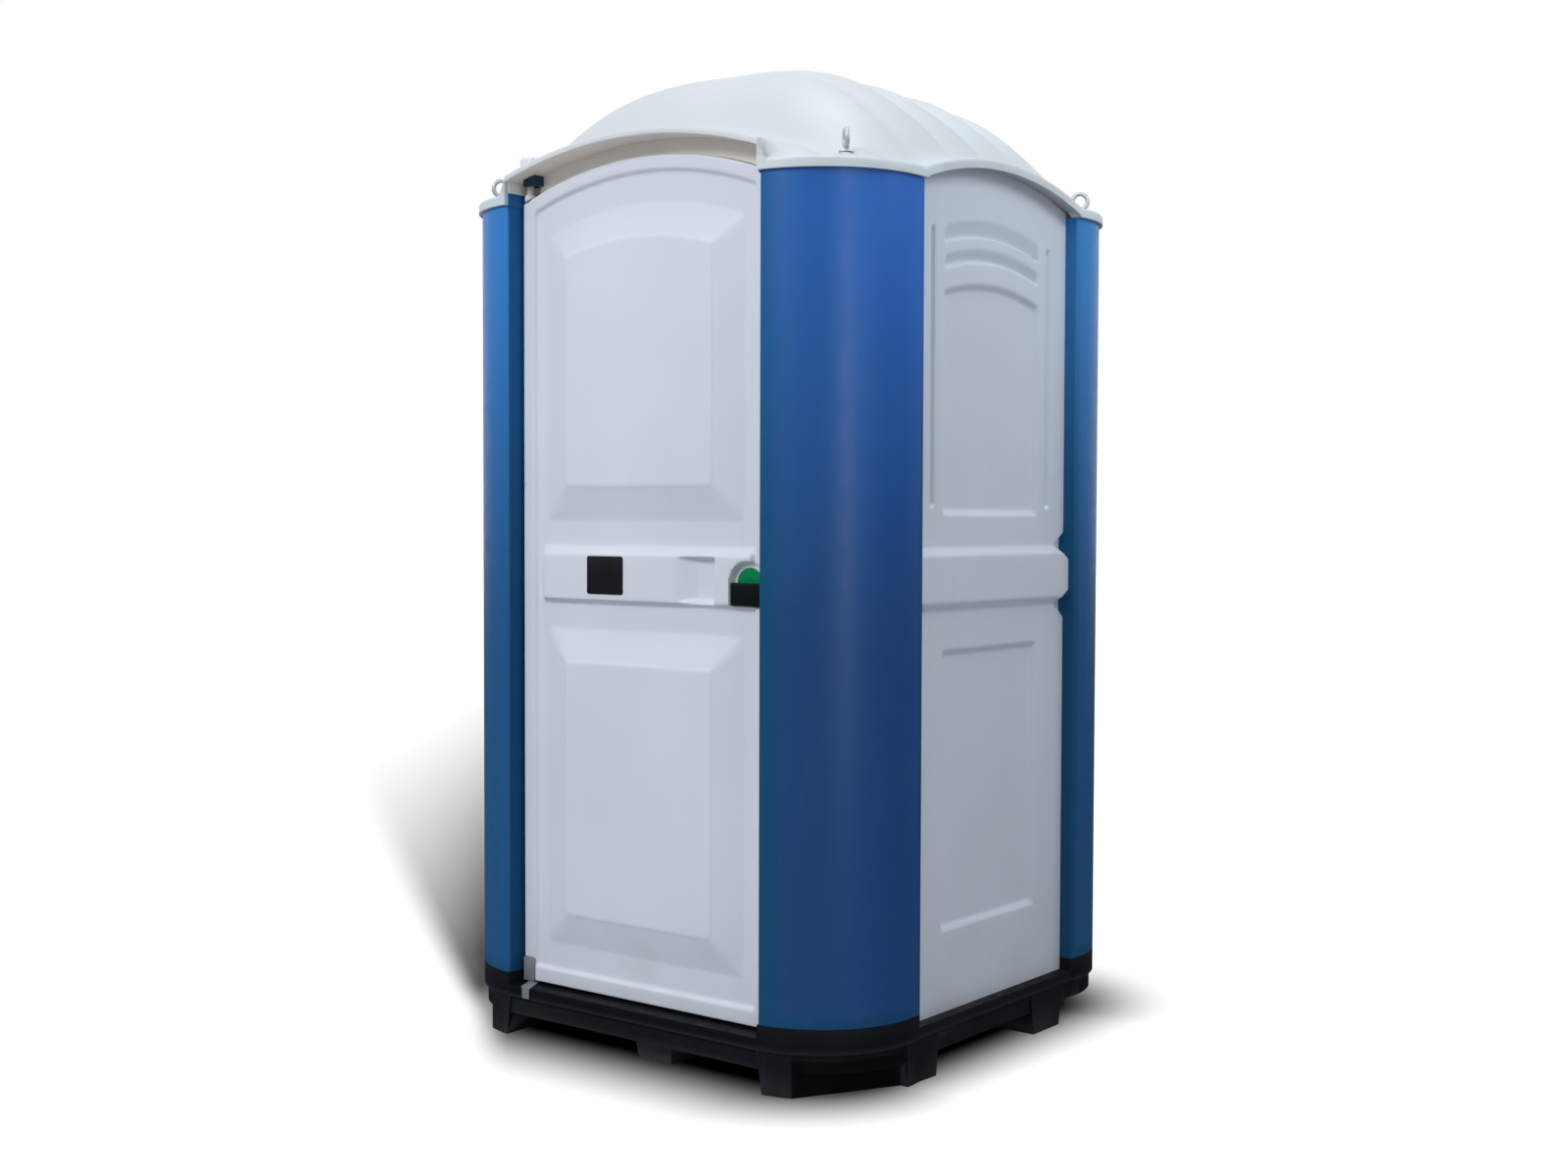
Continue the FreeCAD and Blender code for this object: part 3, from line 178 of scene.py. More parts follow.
# %% Finish builder
class Finish(Nodes):
    """A Principled material whose pattern stands in Object coordinates, in metres."""

    def __init__(self, name, **surface):
        self.material = bpy.data.materials.new(name)
        self.material.use_nodes = True
        super().__init__(self.material.node_tree)
        self.shader = self.nodes["Principled BSDF"]
        self.place = self.add("ShaderNodeTexCoord").outputs["Object"]
        for key, value in surface.items():
            self.shader.inputs[key.replace("_", " ")].default_value = value

    def mapped(self, scale):
        node = self.add("ShaderNodeMapping", {"Scale": scale, "Vector": self.place})
        return node.outputs["Vector"]

    def noise(self, scale, detail=3.0, roughness=0.55, stretch=(1, 1, 1), seed=0.0):
        inputs = {"Vector": self.mapped(stretch), "W": seed, "Scale": scale, "Detail": detail,
                  "Roughness": roughness}
        return self.add("ShaderNodeTexNoise", inputs, noise_dimensions="4D").outputs["Fac"]

    def cells(self, scale):
        inputs = {"Vector": self.mapped((1, 1, 1)), "Scale": scale}
        return self.add("ShaderNodeTexVoronoi", inputs).outputs["Distance"]

    def axis(self, letter):
        return self.add("ShaderNodeSeparateXYZ", {0: self.place}).outputs[letter]

    def half(self, letter, sign):
        """1 on the half of the cabin where the axis has this sign, 0 on the other."""
        return self.span(self.axis(letter), -0.1 * sign, 0.1 * sign)

    def along(self, direction, start):
        """Distance from start along a direction."""
        return self.minus(self.dot(self.place, direction), direction.dot(start))

    def bump(self, height, strength, distance, under=None):
        inputs = {"Strength": strength, "Distance": distance, "Height": height, "Normal": under}
        return self.add("ShaderNodeBump", inputs).outputs["Normal"]

    def edges(self, low=0.5, high=0.56):
        """Worn edges, from how sharply the mesh bends at a point."""
        return self.span(self.add("ShaderNodeNewGeometry").outputs["Pointiness"], low, high)

    def finish(self, colour=None, roughness=None, normal=None):
        self.put(self.shader.inputs["Base Color"], colour)
        self.put(self.shader.inputs["Roughness"], roughness)
        self.put(self.shader.inputs["Normal"], normal)
        return self.material


def tone(colour, factor):
    return tuple(c * factor for c in colour)


print("finish builder ready")

# %% [markdown]
# The wall panels and the door are pale, slightly blue polyethylene. Thermoformed sheet has a soft
# satin skin: a very fine orange peel, a slow drift of tone, faint vertical rain streaks, and a
# darkening near the foot that is road dust and painted shade. Each is one noise of its own scale,
# mixed in weakly, so that none is seen by itself.

# %% Pale panel plastic
panel_colour = (0.712, 0.765, 0.862)
# The header's cream is a warm tone painted in for the shade under the front hood.
warm_shade_colour = (0.95, 0.90, 0.83)
dust_and_shade_colour = (0.42, 0.41, 0.39)
dust_and_shade_from, dust_and_shade_full = 0.55, 0.08


def panel_finish(name, colour):
    f = Finish(name, Specular_IOR_Level=0.42)
    drift = f.span(f.noise(1.7, 2.0), 0.35, 0.65)
    streak = f.span(f.noise(3.0, 4.0, stretch=(9, 9, 0.5), seed=3.0), 0.52, 0.78)
    # Darker near the foot, in patches: road dust and painted shade.
    low = f.math("POWER", f.span(f.axis("Z"), dust_and_shade_from, dust_and_shade_full), 2.0)
    dust = f.times(low, f.span(f.noise(7.0, 6.0, seed=8.0), 0.40, 0.75))
    clean = f.mix(drift, tone(colour, 0.97), tone(colour, 1.02))
    rained = f.mix(f.times(streak, 0.10), clean, tone(colour, 0.80))
    dusty_and_shaded = f.mix(f.times(dust, 0.22), rained, dust_and_shade_colour)
    rough = f.span(f.noise(26.0, 5.0, seed=5.0), 0.2, 0.8, 0.40, 0.52)
    peel = f.bump(f.noise(520.0, 2.0, seed=1.0), 0.10, 0.0004)
    waves = f.bump(f.noise(5.0, 1.0, seed=2.0), 0.25, 0.004, peel)
    return f.finish(dusty_and_shaded, rough, waves)


panel_white = panel_finish("panel_white_plastic", panel_colour)
header_warm_shade = panel_finish("header_cream_plastic", warm_shade_colour)
print("finishes", panel_white.name, header_warm_shade.name)

# %% [markdown]
# The columns are the same plastic in blue, with light and shade painted into the colour: darker at
# the foot and lighter at the top, painted light on the near column's right face, a paler painted
# sheen on the columns away from the right front, and painted shade in teal at the edges. Each of
# the main blues is therefore a pair, for the foot and for the top, mixed by the height.

# %% Blue column plastic
# Painted shade at the foot and painted light at the top, in each pair.
near_blue_shade_to_light = ((0.0035, 0.046, 0.195), (0.011, 0.122, 0.50))
painted_light_right_blue = ((0.0028, 0.055, 0.255), (0.010, 0.148, 0.66))
# Paler blue for the columns away from the right front: painted sheen.
away_blue_painted_sheen = ((0.005, 0.084, 0.265), (0.022, 0.210, 0.66))
# Teal: painted shade at the edges.
edge_teal_painted_shade = ((0.0008, 0.062, 0.150), (0.008, 0.105, 0.31))
# Paler still at the top of the right rear column: painted sheen.
far_top_painted_sheen = (0.030, 0.260, 0.70)
drift_blue = (0.010, 0.080, 0.28)
chalk_blue = (0.16, 0.26, 0.42)
worn_blue = (0.06, 0.24, 0.40)
column_shine, edge_shine = 0.30, 0.10


def painted_shade_edges(f, height):
    """How much painted shade in teal shows: beside the door, beside the walls and close over the
    base.
    """
    left_return = f.times(f.span(f.axis("X"), -0.3590, -0.3575), f.half("X", -1))
    by_door = f.times(f.span(f.axis("X"), 0.440, 0.352), f.half("X", 1))
    by_wall = f.span(f.absolute(f.axis("Y")), 0.350, 0.312)
    by_wall = f.times(by_wall, f.span(height, 0.0, 1.0, 1.0, 0.3))
    low_rim_shade = f.span(f.axis("Z"), 0.180, 0.148, 0.0, 0.7)
    return f.times(f.most(by_door, left_return, by_wall, low_rim_shade), 0.85)


def column_finish():
    f = Finish("column_blue_plastic")
    # Painted shade low and painted light high, by the height.
    height = f.span(f.axis("Z"), 0.82, 1.90)
    # Painted light on the near column's right face.
    painted_light_right_share = f.span(f.axis("X"), 0.470, 0.555)
    near = f.mix(painted_light_right_share, f.mix(height, *near_blue_shade_to_light), f.mix(height, *painted_light_right_blue))
    # Painted sheen on the columns away from the right front.
    far_right = f.times(f.half("X", 1), f.half("Y", 1))
    away_sheen_top = f.mix(far_right, away_blue_painted_sheen[1], far_top_painted_sheen)
    away = f.most(f.half("X", -1), f.half("Y", 1))
    lit_and_shaded = f.mix(away, near, f.mix(height, away_blue_painted_sheen[0], away_sheen_top))
    drift = f.span(f.noise(2.3, 3.0, seed=4.0), 0.35, 0.65)
    toned = f.mix(f.times(drift, 0.12), lit_and_shaded, drift_blue)
    # Painted shade in teal at the edges, where the gloss is lower too.
    edge = painted_shade_edges(f, height)
    shine = f.span(edge, 0.0, 1.0, column_shine, edge_shine)
    f.put(f.shader.inputs["Specular IOR Level"], shine)
    edged = f.mix(edge, toned, f.mix(height, *edge_teal_painted_shade))
    chalk = f.span(f.noise(9.0, 6.0, stretch=(4, 4, 0.8), seed=6.0), 0.55, 0.85)
    chalky = f.mix(f.times(chalk, 0.05), edged, chalk_blue)
    worn = f.mix(f.times(f.edges(0.52, 0.60), 0.12), chalky, worn_blue)
    rough = f.span(f.noise(34.0, 5.0, seed=5.0), 0.2, 0.8, 0.32, 0.44)
    peel = f.bump(f.noise(480.0, 2.0, seed=1.0), 0.08, 0.0003)
    return f.finish(worn, rough, peel)


column_blue = column_finish()
print("finish", column_blue.name)

# %% [markdown]
# The roof is milky: daylight comes through it and glows on the inside. A share of a translucent
# shader is mixed with the glossy skin for that. The undersides of the hoods take painted shade, and
# the upright faces of the rim painted light, both found by the way in which the surface faces.

# %% Translucent roof
roof_colour = (0.71, 0.76, 0.805)
rim_painted_light = (0.76, 0.86, 0.92)
front_soffit_warm_shade = (0.92, 0.86, 0.79)
side_soffit_shade = (0.55, 0.53, 0.54)
grime_colour = (0.55, 0.56, 0.54)
glow_share = 0.22


def roof_finish():
    f = Finish("roof_milky_plastic", Specular_IOR_Level=0.40)
    drift = f.span(f.noise(2.6, 3.0, seed=2.0), 0.30, 0.70)
    skin = f.mix(drift, tone(roof_colour, 0.97), tone(roof_colour, 1.02))
    grime = f.times(f.span(f.noise(11.0, 6.0, seed=9.0), 0.55, 0.85), 0.08)
    skin = f.mix(grime, skin, grime_colour)
    normal = f.add("ShaderNodeNewGeometry").outputs["Normal"]
    facing_up = f.add("ShaderNodeSeparateXYZ", {0: normal}).outputs["Z"]
    # Painted light: the upright faces of the rim are lighter.
    upright = f.span(f.absolute(facing_up), 0.85, 0.45)
    skin = f.mix(f.times(upright, f.span(f.axis("Z"), 1.892, 1.884)), skin, rim_painted_light)
    # Painted shade under the hoods: warm under the front hood, grey under the side hoods.
    soffit_painted_shade = f.mix(f.span(f.axis("Y"), -0.500, -0.530), side_soffit_shade, front_soffit_warm_shade)
    under = f.times(f.span(facing_up, -0.35, -0.80), f.span(f.axis("Z"), 1.990, 1.972))
    skin = f.mix(under, skin, soffit_painted_shade)
    rough = f.span(f.noise(30.0, 4.0, seed=4.0), 0.2, 0.8, 0.34, 0.48)
    f.finish(skin, rough, f.bump(f.noise(60.0, 3.0, seed=1.0), 0.06, 0.001))
    glow = f.add("ShaderNodeBsdfTranslucent", {"Color": skin}).outputs[0]
    blend = f.add("ShaderNodeMixShader", {"Fac": glow_share, 1: f.shader.outputs[0], 2: glow})
    f.put(f.nodes["Material Output"].inputs["Surface"], blend.outputs[0])
    return f.material


roof_milky = roof_finish()
print("finish", roof_milky.name)

# %% [markdown]
# The base is black polyethylene that is dragged and forked about, so its edges and skirt are
# scuffed to grey and mud clings to its foot. The rim over the skirt has no scuffs and is painted
# darker as painted shade, most of all under the door, and the recesses between the feet are
# painted nearly black as painted shade.

# %% Scuffed black base
base_colour = (0.007, 0.009, 0.013)
base_dull = (0.024, 0.026, 0.031)
base_scuff = (0.085, 0.088, 0.095)
base_mud = (0.060, 0.054, 0.046)
base_worn = (0.16, 0.16, 0.165)
black = (0.0, 0.0, 0.0)


def base_finish():
    f = Finish("base_scuffed_black", Specular_IOR_Level=0.12)
    cloud = f.span(f.noise(5.0, 6.0, seed=1.0), 0.42, 0.72)
    dull = f.mix(f.times(cloud, 0.45), base_colour, base_dull)
    scuff = f.span(f.noise(26.0, 8.0, 0.7, stretch=(1, 1, 5), seed=2.0), 0.60, 0.76)
    scuffed = f.mix(f.times(scuff, 0.26), dull, base_scuff)
    low = f.span(f.axis("Z"), 0.06, 0.0)
    mud = f.times(low, f.span(f.noise(18.0, 6.0, seed=7.0), 0.40, 0.70))
    muddy = f.mix(f.times(mud, 0.22), scuffed, base_mud)
    worn = f.mix(f.times(f.edges(), 0.30), muddy, base_worn)
    # Painted shade: the rim over the skirt is darker, most of all under the door.
    shade_under_door = f.span(f.absolute(f.axis("X")), 0.366, 0.350)
    rim = f.mix(shade_under_door, tone(base_colour, 0.68), tone(base_colour, 0.30))
    worn = f.mix(f.span(f.axis("Z"), 0.080, 0.105), worn, rim)
    # Painted shade: the recesses between the feet are nearly black.
    recess_shade = f.times(f.span(f.absolute(f.axis("X")), 0.426, 0.434),
                     f.span(f.absolute(f.axis("Y")), 0.362, 0.372),
                     f.span(f.axis("Z"), 0.080, 0.073))
    worn = f.mix(f.times(recess_shade, 0.85), worn, black)
    rough = f.span(f.noise(40.0, 6.0, seed=3.0), 0.25, 0.75, 0.45, 0.70)
    return f.finish(worn, rough, f.bump(f.noise(240.0, 3.0, seed=4.0), 0.25, 0.0006))


base_black = base_finish()
print("finish", base_black.name)

# %% [markdown]
# The small fittings get their own finishes too: dull zinc with its spangle, black and coloured
# latch mouldings, soft rubber, grey floor, glossy tank and seat, and paper wound in fine layers.
# The moulded ones differ only in colour, gloss, grain and wear, so one function makes them all.


# %% Finishes of the fittings
def zinc_finish():
    f = Finish("zinc_plate", Metallic=1.0)
    spangle = f.span(f.cells(120.0), 0.1, 0.9)
    colour = f.mix(spangle, (0.50, 0.51, 0.52), (0.64, 0.65, 0.66))
    stain = f.times(f.span(f.noise(40.0, 6.0, seed=2.0), 0.55, 0.8), 0.4)
    colour = f.mix(stain, colour, (0.32, 0.30, 0.27))
    rough = f.span(f.noise(90.0, 5.0, seed=3.0), 0.2, 0.8, 0.28, 0.48)
    return f.finish(colour, rough, f.bump(spangle, 0.12, 0.0003))


def paper_finish():
    f = Finish("rolled_paper", Sheen_Weight=0.25)
    fibre = f.span(f.noise(420.0, 5.0, seed=1.0), 0.3, 0.7)
    colour = f.mix(fibre, (0.78, 0.77, 0.74), (0.88, 0.87, 0.85))
    return f.finish(colour, f.span(fibre, 0.0, 1.0, 0.80, 0.95), f.bump(fibre, 0.35, 0.0005))


def moulded_finish(name, colour, rough_low, rough_high, grain=700.0, depth=0.0003, wear=0.2,
                   shine=0.22, metal=0.0):
    """Moulded or painted skin: grain is how fine it is, depth how deep, wear how scratched."""
    f = Finish(name, Specular_IOR_Level=shine, Metallic=metal)
    drift = f.span(f.noise(18.0, 4.0, seed=1.0), 0.3, 0.7)
    toned = f.mix(drift, tone(colour, 0.88), tone(colour, 1.10))
    scratch = f.span(f.noise(60.0, 6.0, 0.7, stretch=(1, 1, 8), seed=2.0), 0.62, 0.80)
    pale = tuple(min(1.0, c * 1.4 + 0.03) for c in colour)
    marked = f.mix(f.times(scratch, wear), toned, pale)
    edged = f.mix(f.times(f.edges(0.53, 0.62), wear), marked, pale)
    rough = f.span(f.noise(70.0, 5.0, seed=3.0), 0.2, 0.8, rough_low, rough_high)
    return f.finish(edged, rough, f.bump(f.noise(grain, 2.0, seed=4.0), 0.2, depth))


moulded_skins = {
    "latch_black": ("latch_black_plastic", (0.004, 0.007, 0.008), 0.32, 0.48, {"shine": 0.10}),
    "sign_black": ("sign_black_plate", (0.010, 0.011, 0.013), 0.30, 0.40,
                   {"grain": 1500.0, "depth": 0.00004, "wear": 0.05}),
    "indicator_green": ("indicator_green_plastic", (0.003, 0.215, 0.070), 0.40, 0.55,
                        {"shine": 0.05}),
    "indicator_red": ("indicator_red_plastic", (0.42, 0.020, 0.016), 0.25, 0.36, {}),
    "seal_rubber": ("seal_rubber", (0.018, 0.018, 0.018), 0.65, 0.85, {"depth": 0.0006}),
    "floor_grey": ("floor_grey_plastic", (0.10, 0.105, 0.11), 0.50, 0.72,
                   {"depth": 0.0006, "wear": 0.3}),
    "tank_black": ("tank_black_plastic", (0.014, 0.014, 0.016), 0.28, 0.45, {}),
    "seat_black": ("seat_black_plastic", (0.018, 0.018, 0.020), 0.16, 0.28, {"wear": 0.12}),
    "pipe_white": ("pipe_white_plastic", (0.62, 0.63, 0.63), 0.35, 0.50, {"wear": 0.1}),
    "fitting_grey": ("fitting_grey_plastic", (0.085, 0.087, 0.092), 0.38, 0.55, {}),
}
print(len(moulded_skins), "moulded skins listed")

# %% [markdown]
# Each CAD node names the finish that it should wear. The table of finishes is keyed by those names,
# so one loop dresses every node, and each hidden piece has a real finish as well. Two small pieces
# then take the finish that the photograph shows on them.

# %% Every node gets its finish
finishes = {
    "zinc_steel": zinc_finish(),
    "paper": paper_finish(),
    "panel_white": panel_white,
    "roof_translucent": roof_milky,
    "column_blue": column_blue,
    "base_black": base_black,
}
for slot, (name, colour, rough_low, rough_high, extra) in moulded_skins.items():
    finishes[slot] = moulded_finish(name, colour, rough_low, rough_high, **extra)
slot_of = {row["node"]: row["material_slot"] for row in frame["record"]["subparts"]}
for name, node in frame["nodes"].items():
    node.data.materials.clear()
    node.data.materials.append(finishes[slot_of[name]])
frame["nodes"]["hinge_pin_top"].data.materials[0] = finishes["pipe_white"]
frame["nodes"]["latch_spindle"].data.materials[0] = finishes["indicator_green"]
print(len(finishes), "finishes on", len(frame["nodes"]), "nodes")

# %% [markdown]
# Formed panels are height fields: at each point of a flat sheet the mould stands out or sinks by
# some depth. So a panel is a net of rows and columns whose lines crowd together where the relief
# bends, and a few formulas give the depth. From here on sizes are in millimetres, as on a drawing.
# smooth_clamp makes every bevel: its second value says how round the bevel's two corners are, as a
# share of its run.


# %% Formulas of relief
def smooth_clamp(value, soft):
    """From 0 to 1 as value goes from 0 to 1, with rounded corners of size soft."""
    return 0.5 * (np.sqrt(value ** 2 + soft ** 2) - np.sqrt((value - 1) ** 2 + soft ** 2) + 1)


def smooth_least(a, b, soft):
    return 0.5 * (a + b - np.sqrt((a - b) ** 2 + soft ** 2))


def smooth_most(a, b, soft):
    return 0.5 * (a + b + np.sqrt((a - b) ** 2 + soft ** 2))


def eased(share):
    """From 0 to 1 with a gentle start and end."""
    return share * share * (3 - 2 * share)


def sag(radius, x):
    """How far an arch of this radius drops at x from its crest."""
    return radius - np.sqrt(radius ** 2 - x ** 2)


def round_fall(radius, inside):
    """How far a quarter round of this radius has dropped, at a distance inside the edge."""
    turn = np.clip(radius - inside, 0.0, radius)
    return radius - np.sqrt(radius ** 2 - turn ** 2)


def from_line(across, z, low, high):
    """Distance from an upright line that runs from low to high."""
    return np.hypot(across, np.maximum(np.maximum(low - z, z - high), 0.0))


def both_sides(*distances):
    """Each distance to the left and to the right of the middle."""
    return [side * distance for distance in distances for side in (-1, 1)]


print("a 1 m arch drops", round(float(sag(1000.0, 316.0)), 1), "mm at 316 mm")

# %% [markdown]
# Two nets of the same size, an outer and an inner one, are joined round their borders into a closed
# shell. That is simpler than giving a sheet its thickness with a modifier, and the thickness can
# vary: a pan has a front that follows the relief and sides that turn back all round.


# %% Nets
def crowded(low, high, features, fine, coarse, reach=0.01, zones=()):
    """Positions from low to high, close together near the features and inside the zones."""
    positions = [low]
    while positions[-1] < high:
        at = positions[-1]
        away = max(0.0, min(abs(at + fine - f) for f in features) - reach)
        step = min(coarse, fine + 0.45 * away)
        if any(a <= at <= b for a, b in zones):
            step = min(step, 1.6 * fine)
        positions.append(at + step)
    positions = np.array(positions)
    return low + (positions - low) * (high - low) / (positions[-1] - low)


def net_faces(rows, columns, start, flip):
    faces = []
    for i in range(rows - 1):
        for j in range(columns - 1):
            a = start + i * columns + j
            quad = (a, a + 1, a + columns + 1, a + columns)
            faces.append(quad[::-1] if flip else quad)
    return faces


def border_of(rows, columns):
    """The net's border, once round."""
    loop = list(range(columns))
    loop += [i * columns + columns - 1 for i in range(1, rows)]
    loop += [(rows - 1) * columns + j for j in range(columns - 2, -1, -1)]
    loop += [i * columns for i in range(rows - 2, 0, -1)]
    return loop


print("lines over 100 mm with one feature:", len(crowded(0.0, 100.0, [50.0], 3.0, 13.0)))


# %% Shells
def shell(outer, inner):
    """Vertices and faces of a closed shell between two nets of the same size."""
    rows, columns = outer.shape[:2]
    count = rows * columns
    vertices = np.concatenate([outer.reshape(-1, 3), inner.reshape(-1, 3)])
    faces = net_faces(rows, columns, 0, False) + net_faces(rows, columns, count, True)
    loop = border_of(rows, columns)
    for a, b in zip(loop, loop[1:] + loop[:1]):
        faces.append((b, a, a + count, b + count))
    return vertices, faces


def pan(xs, ts, place, front, back, wall):
    """Shell like a baking pan: a front that follows a relief, and sides turned back all round."""
    def net(inset):
        grow_x = (xs[-1] - inset) / xs[-1]
        grow_t = (ts[-1] - ts[0] - 2 * inset) / (ts[-1] - ts[0])
        x, t = np.meshgrid(xs * grow_x, ts[0] + inset + (ts - ts[0]) * grow_t)
        z = place(x, t)
        y = front(x, z) + inset
        core = np.stack([x, y, z], axis=-1)
        wide = np.pad(core, ((1, 1), (1, 1), (0, 0)), mode="edge")
        for side in (wide[0], wide[-1], wide[:, 0], wide[:, -1]):
            side[:, 1] = back
        return wide
    return shell(net(0.0), net(wall))


flat = np.zeros((3, 4, 3))
print("a shell of 3 by 4 points has", len(shell(flat, flat)[1]), "faces")

# %% [markdown]
# Every new piece is made the same way: a mesh whose place is in its vertices, smooth except at
# sharp folds, with one finish, riding on one body. Its faces are turned outwards by the sign of its
# volume.


# %% Making a piece
def outward(mesh):
    """Turns the mesh's faces outwards if the volume that they enclose comes out negative."""
    bm = bmesh.new()
    bm.from_mesh(mesh)
    if bm.calc_volume(signed=True) < 0:
        bmesh.ops.reverse_faces(bm, faces=bm.faces)
    bm.to_mesh(mesh)
    bm.free()


def mesh_from(vertices, faces):
    """Mesh of vertices in millimetres and faces."""
    mesh = bpy.data.meshes.new("piece")
    mesh.from_pydata([tuple(v) for v in np.array(vertices) * MM], [], faces)
    mesh.validate()
    outward(mesh)
    return mesh


def add_piece(name, mesh, slot, body, replaces=(), sharp=35.0, finish=None):
    """Piece on a body. Folds over sharp degrees stay hard. A finish may replace the slot's."""
    mesh.name = name
    mesh.materials.clear()
    mesh.materials.append(finish or finishes[slot])
    mesh.shade_smooth()
    mesh.set_sharp_from_angle(angle=math.radians(sharp))
    piece = in_scene(name, mesh)
    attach(piece, body)
    if replaces:
        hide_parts(*replaces)
    print(name, len(mesh.polygons), "faces")


print("pieces are made by add_piece")

# %% [markdown]
# The door leaf is one thermoformed skin: a flat lip round the edge, a long raised panel above and
# another below with wide mitred bevels, and a rail across the middle with the sign, the pull and
# the latch. Each bevel is the distance to the panel's nearest edge, clamped, so that the mitres
# come out by themselves.

# %% Door sizes
door_face, door_back = -538.0, -512.0
door_half, door_foot, door_crest, door_radius = 352.0, 120.0, 1936.0, 940.0
arch_centre = door_crest - door_radius
skin_wall = 3.5
edge_round = 5.0
corner_soft = 5.0
lip_width, lip_top, lip_run, lip_rise = 34.0, 30.0, 6.0, 8.0
field_half, field_bevel, field_rise = 281.0, 70.0, 20.0
step_run, step_rise = 3.0, 2.0
upper_low, upper_radius = 1162.0, 842.0
lower_low, lower_high = 216.0, 924.0
band_left, band_right, band_end_run = -293.0, 316.0, 10.0
band_low, band_high, band_low_run, band_high_run = 981.0, 1107.0, 9.0, 18.0
band_rise = 16.0
pull_left, pull_right, pull_slope = 109.0, 212.0, 44.0
pull_low, pull_high, pull_low_run, pull_run, pull_deep = 987.0, 1087.0, 9.0, 5.0, 20.0
latch_x, latch_z = 298.0, 1034.0
pocket_radius, pocket_low, pocket_run = 46.0, 986.0, 4.0
print("the door's arch drops", round(float(sag(door_radius, door_half)), 1), "mm at its sides")


# %% Door relief
def rail_relief(x, z):
    """Flat band across the door, with bevels all round."""
    rail = np.minimum((band_high - z) / band_high_run, (z - band_low) / band_low_run)
    ends = np.minimum((x - band_left) / band_end_run, (band_right - x) / band_end_run)
    return band_rise * smooth_clamp(smooth_least(rail, ends, 0.25), 0.14)


def pull_relief(x, z):
    """Hollow that deepens from the left, for the fingers."""
    across = (smooth_clamp((x - pull_left) / pull_slope, 0.12)
              * smooth_clamp((pull_right - x) / pull_run, 0.25))
    return (pull_deep * across * smooth_clamp((z - pull_low) / pull_low_run, 0.2)
            * smooth_clamp((pull_high - z) / pull_run, 0.2))


def door_relief(x, z):
    """How far the skin stands out from the leaf's face."""
    out = np.where(z > arch_centre, np.hypot(x, z - arch_centre), np.abs(x))
    side = door_half - np.abs(x)
    lip_edge = smooth_least(side - lip_width, door_radius - out - lip_top, corner_soft)
    lip_edge = smooth_least(lip_edge, z - door_foot - lip_width, corner_soft)
    height = lip_rise * (1 - smooth_clamp(lip_edge / lip_run, 0.25))
    across = field_half - np.abs(x)
    for ends in (smooth_least(z - upper_low, upper_radius - out, corner_soft),
                 smooth_least(z - lower_low, lower_high - z, corner_soft)):
        inside = smooth_least(across, ends, corner_soft)
        height = height + field_rise * smooth_clamp(inside / field_bevel, 0.025)
        height = height + step_rise * smooth_clamp((inside - field_bevel) / step_run, 0.2)
    height = height + rail_relief(x, z) - pull_relief(x, z)
    round_head = pocket_radius - np.hypot(x - latch_x, np.maximum(z - latch_z, 0.0))
    pocket = smooth_clamp(np.minimum(round_head, z - pocket_low) / pocket_run, 0.25)
    nearest = np.minimum(np.minimum(side, door_radius - out), z - door_foot)
    return height * (1 - pocket) - round_fall(edge_round, nearest)


proud = door_relief(np.array([0.0]), np.array([1500.0]))[0]
print("the upper panel stands", round(float(proud), 1), "mm proud")

# %% [markdown]
# The net's upright lines run straight, and its level lines bend more and more towards the arch at
# the top, so that no bevel crosses them at a slant. The lines crowd at every edge that the sizes
# name.

# %% Door net
arch_from, arch_full = 1200.0, 1500.0
least_radius = 380.0


def arch_rows(x, t):
    """Height of a net row: level low down, and concentric with the door's arch near the top."""
    blend = eased(np.clip((t - arch_from) / (arch_full - arch_from), 0.0, 1.0))
    return t - blend * sag(np.maximum(t - arch_centre, least_radius), x)


x_features = [0.0] + both_sides(door_half, door_half - edge_round, door_half - lip_width,
                                door_half - lip_width - lip_run, field_half,
                                field_half - field_bevel, band_left, band_left + band_end_run)
x_features += [pull_left, pull_left + pull_slope, pull_right - pull_run, pull_right,
               latch_x - pocket_radius, latch_x + pocket_radius]
t_features = [door_foot, door_foot + edge_round, door_foot + lip_width,
              door_foot + lip_width + lip_run, door_crest, door_crest - edge_round,
              door_crest - lip_top, door_crest - lip_top - lip_run]
t_features += [lower_low, lower_low + field_bevel, lower_high - field_bevel, lower_high,
               upper_low, upper_low + field_bevel, arch_centre + upper_radius - field_bevel,
               arch_centre + upper_radius]
t_features += [band_low, band_low + band_low_run, band_high - band_high_run, band_high,
               pull_low, pull_low + pull_low_run, pull_high - pull_run, pull_high]
pocket_zone = (latch_x - pocket_radius - 2, latch_x + pocket_radius + 2)
latch_zone = (pocket_low - 2, latch_z + pocket_radius + 4)
door_xs = crowded(-door_half, door_half, x_features, 2.2, 13.0, zones=(pocket_zone,))
door_ts = crowded(door_foot, door_crest, t_features, 2.2, 16.0, zones=(latch_zone,))
print("door net", len(door_xs), "by", len(door_ts))

# %% [markdown]
# Some holes can't be part of a height field: the bolt slides out through the leaf's edge, and the
# latch's spindle runs through its face. They are cut with one Boolean, after which the cutters are
# thrown away. A modifier is used through a holder object, and only the plain mesh that it gives is
# kept.


# %% Modifiers
def evaluated_mesh(holder):
    """Plain mesh of an object after its modifiers. The holder is removed."""
    graph = bpy.context.evaluated_depsgraph_get()
    mesh = bpy.data.meshes.new_from_object(holder.evaluated_get(graph))
    holder.modifiers.clear()
    bpy.data.objects.remove(holder)
    return mesh


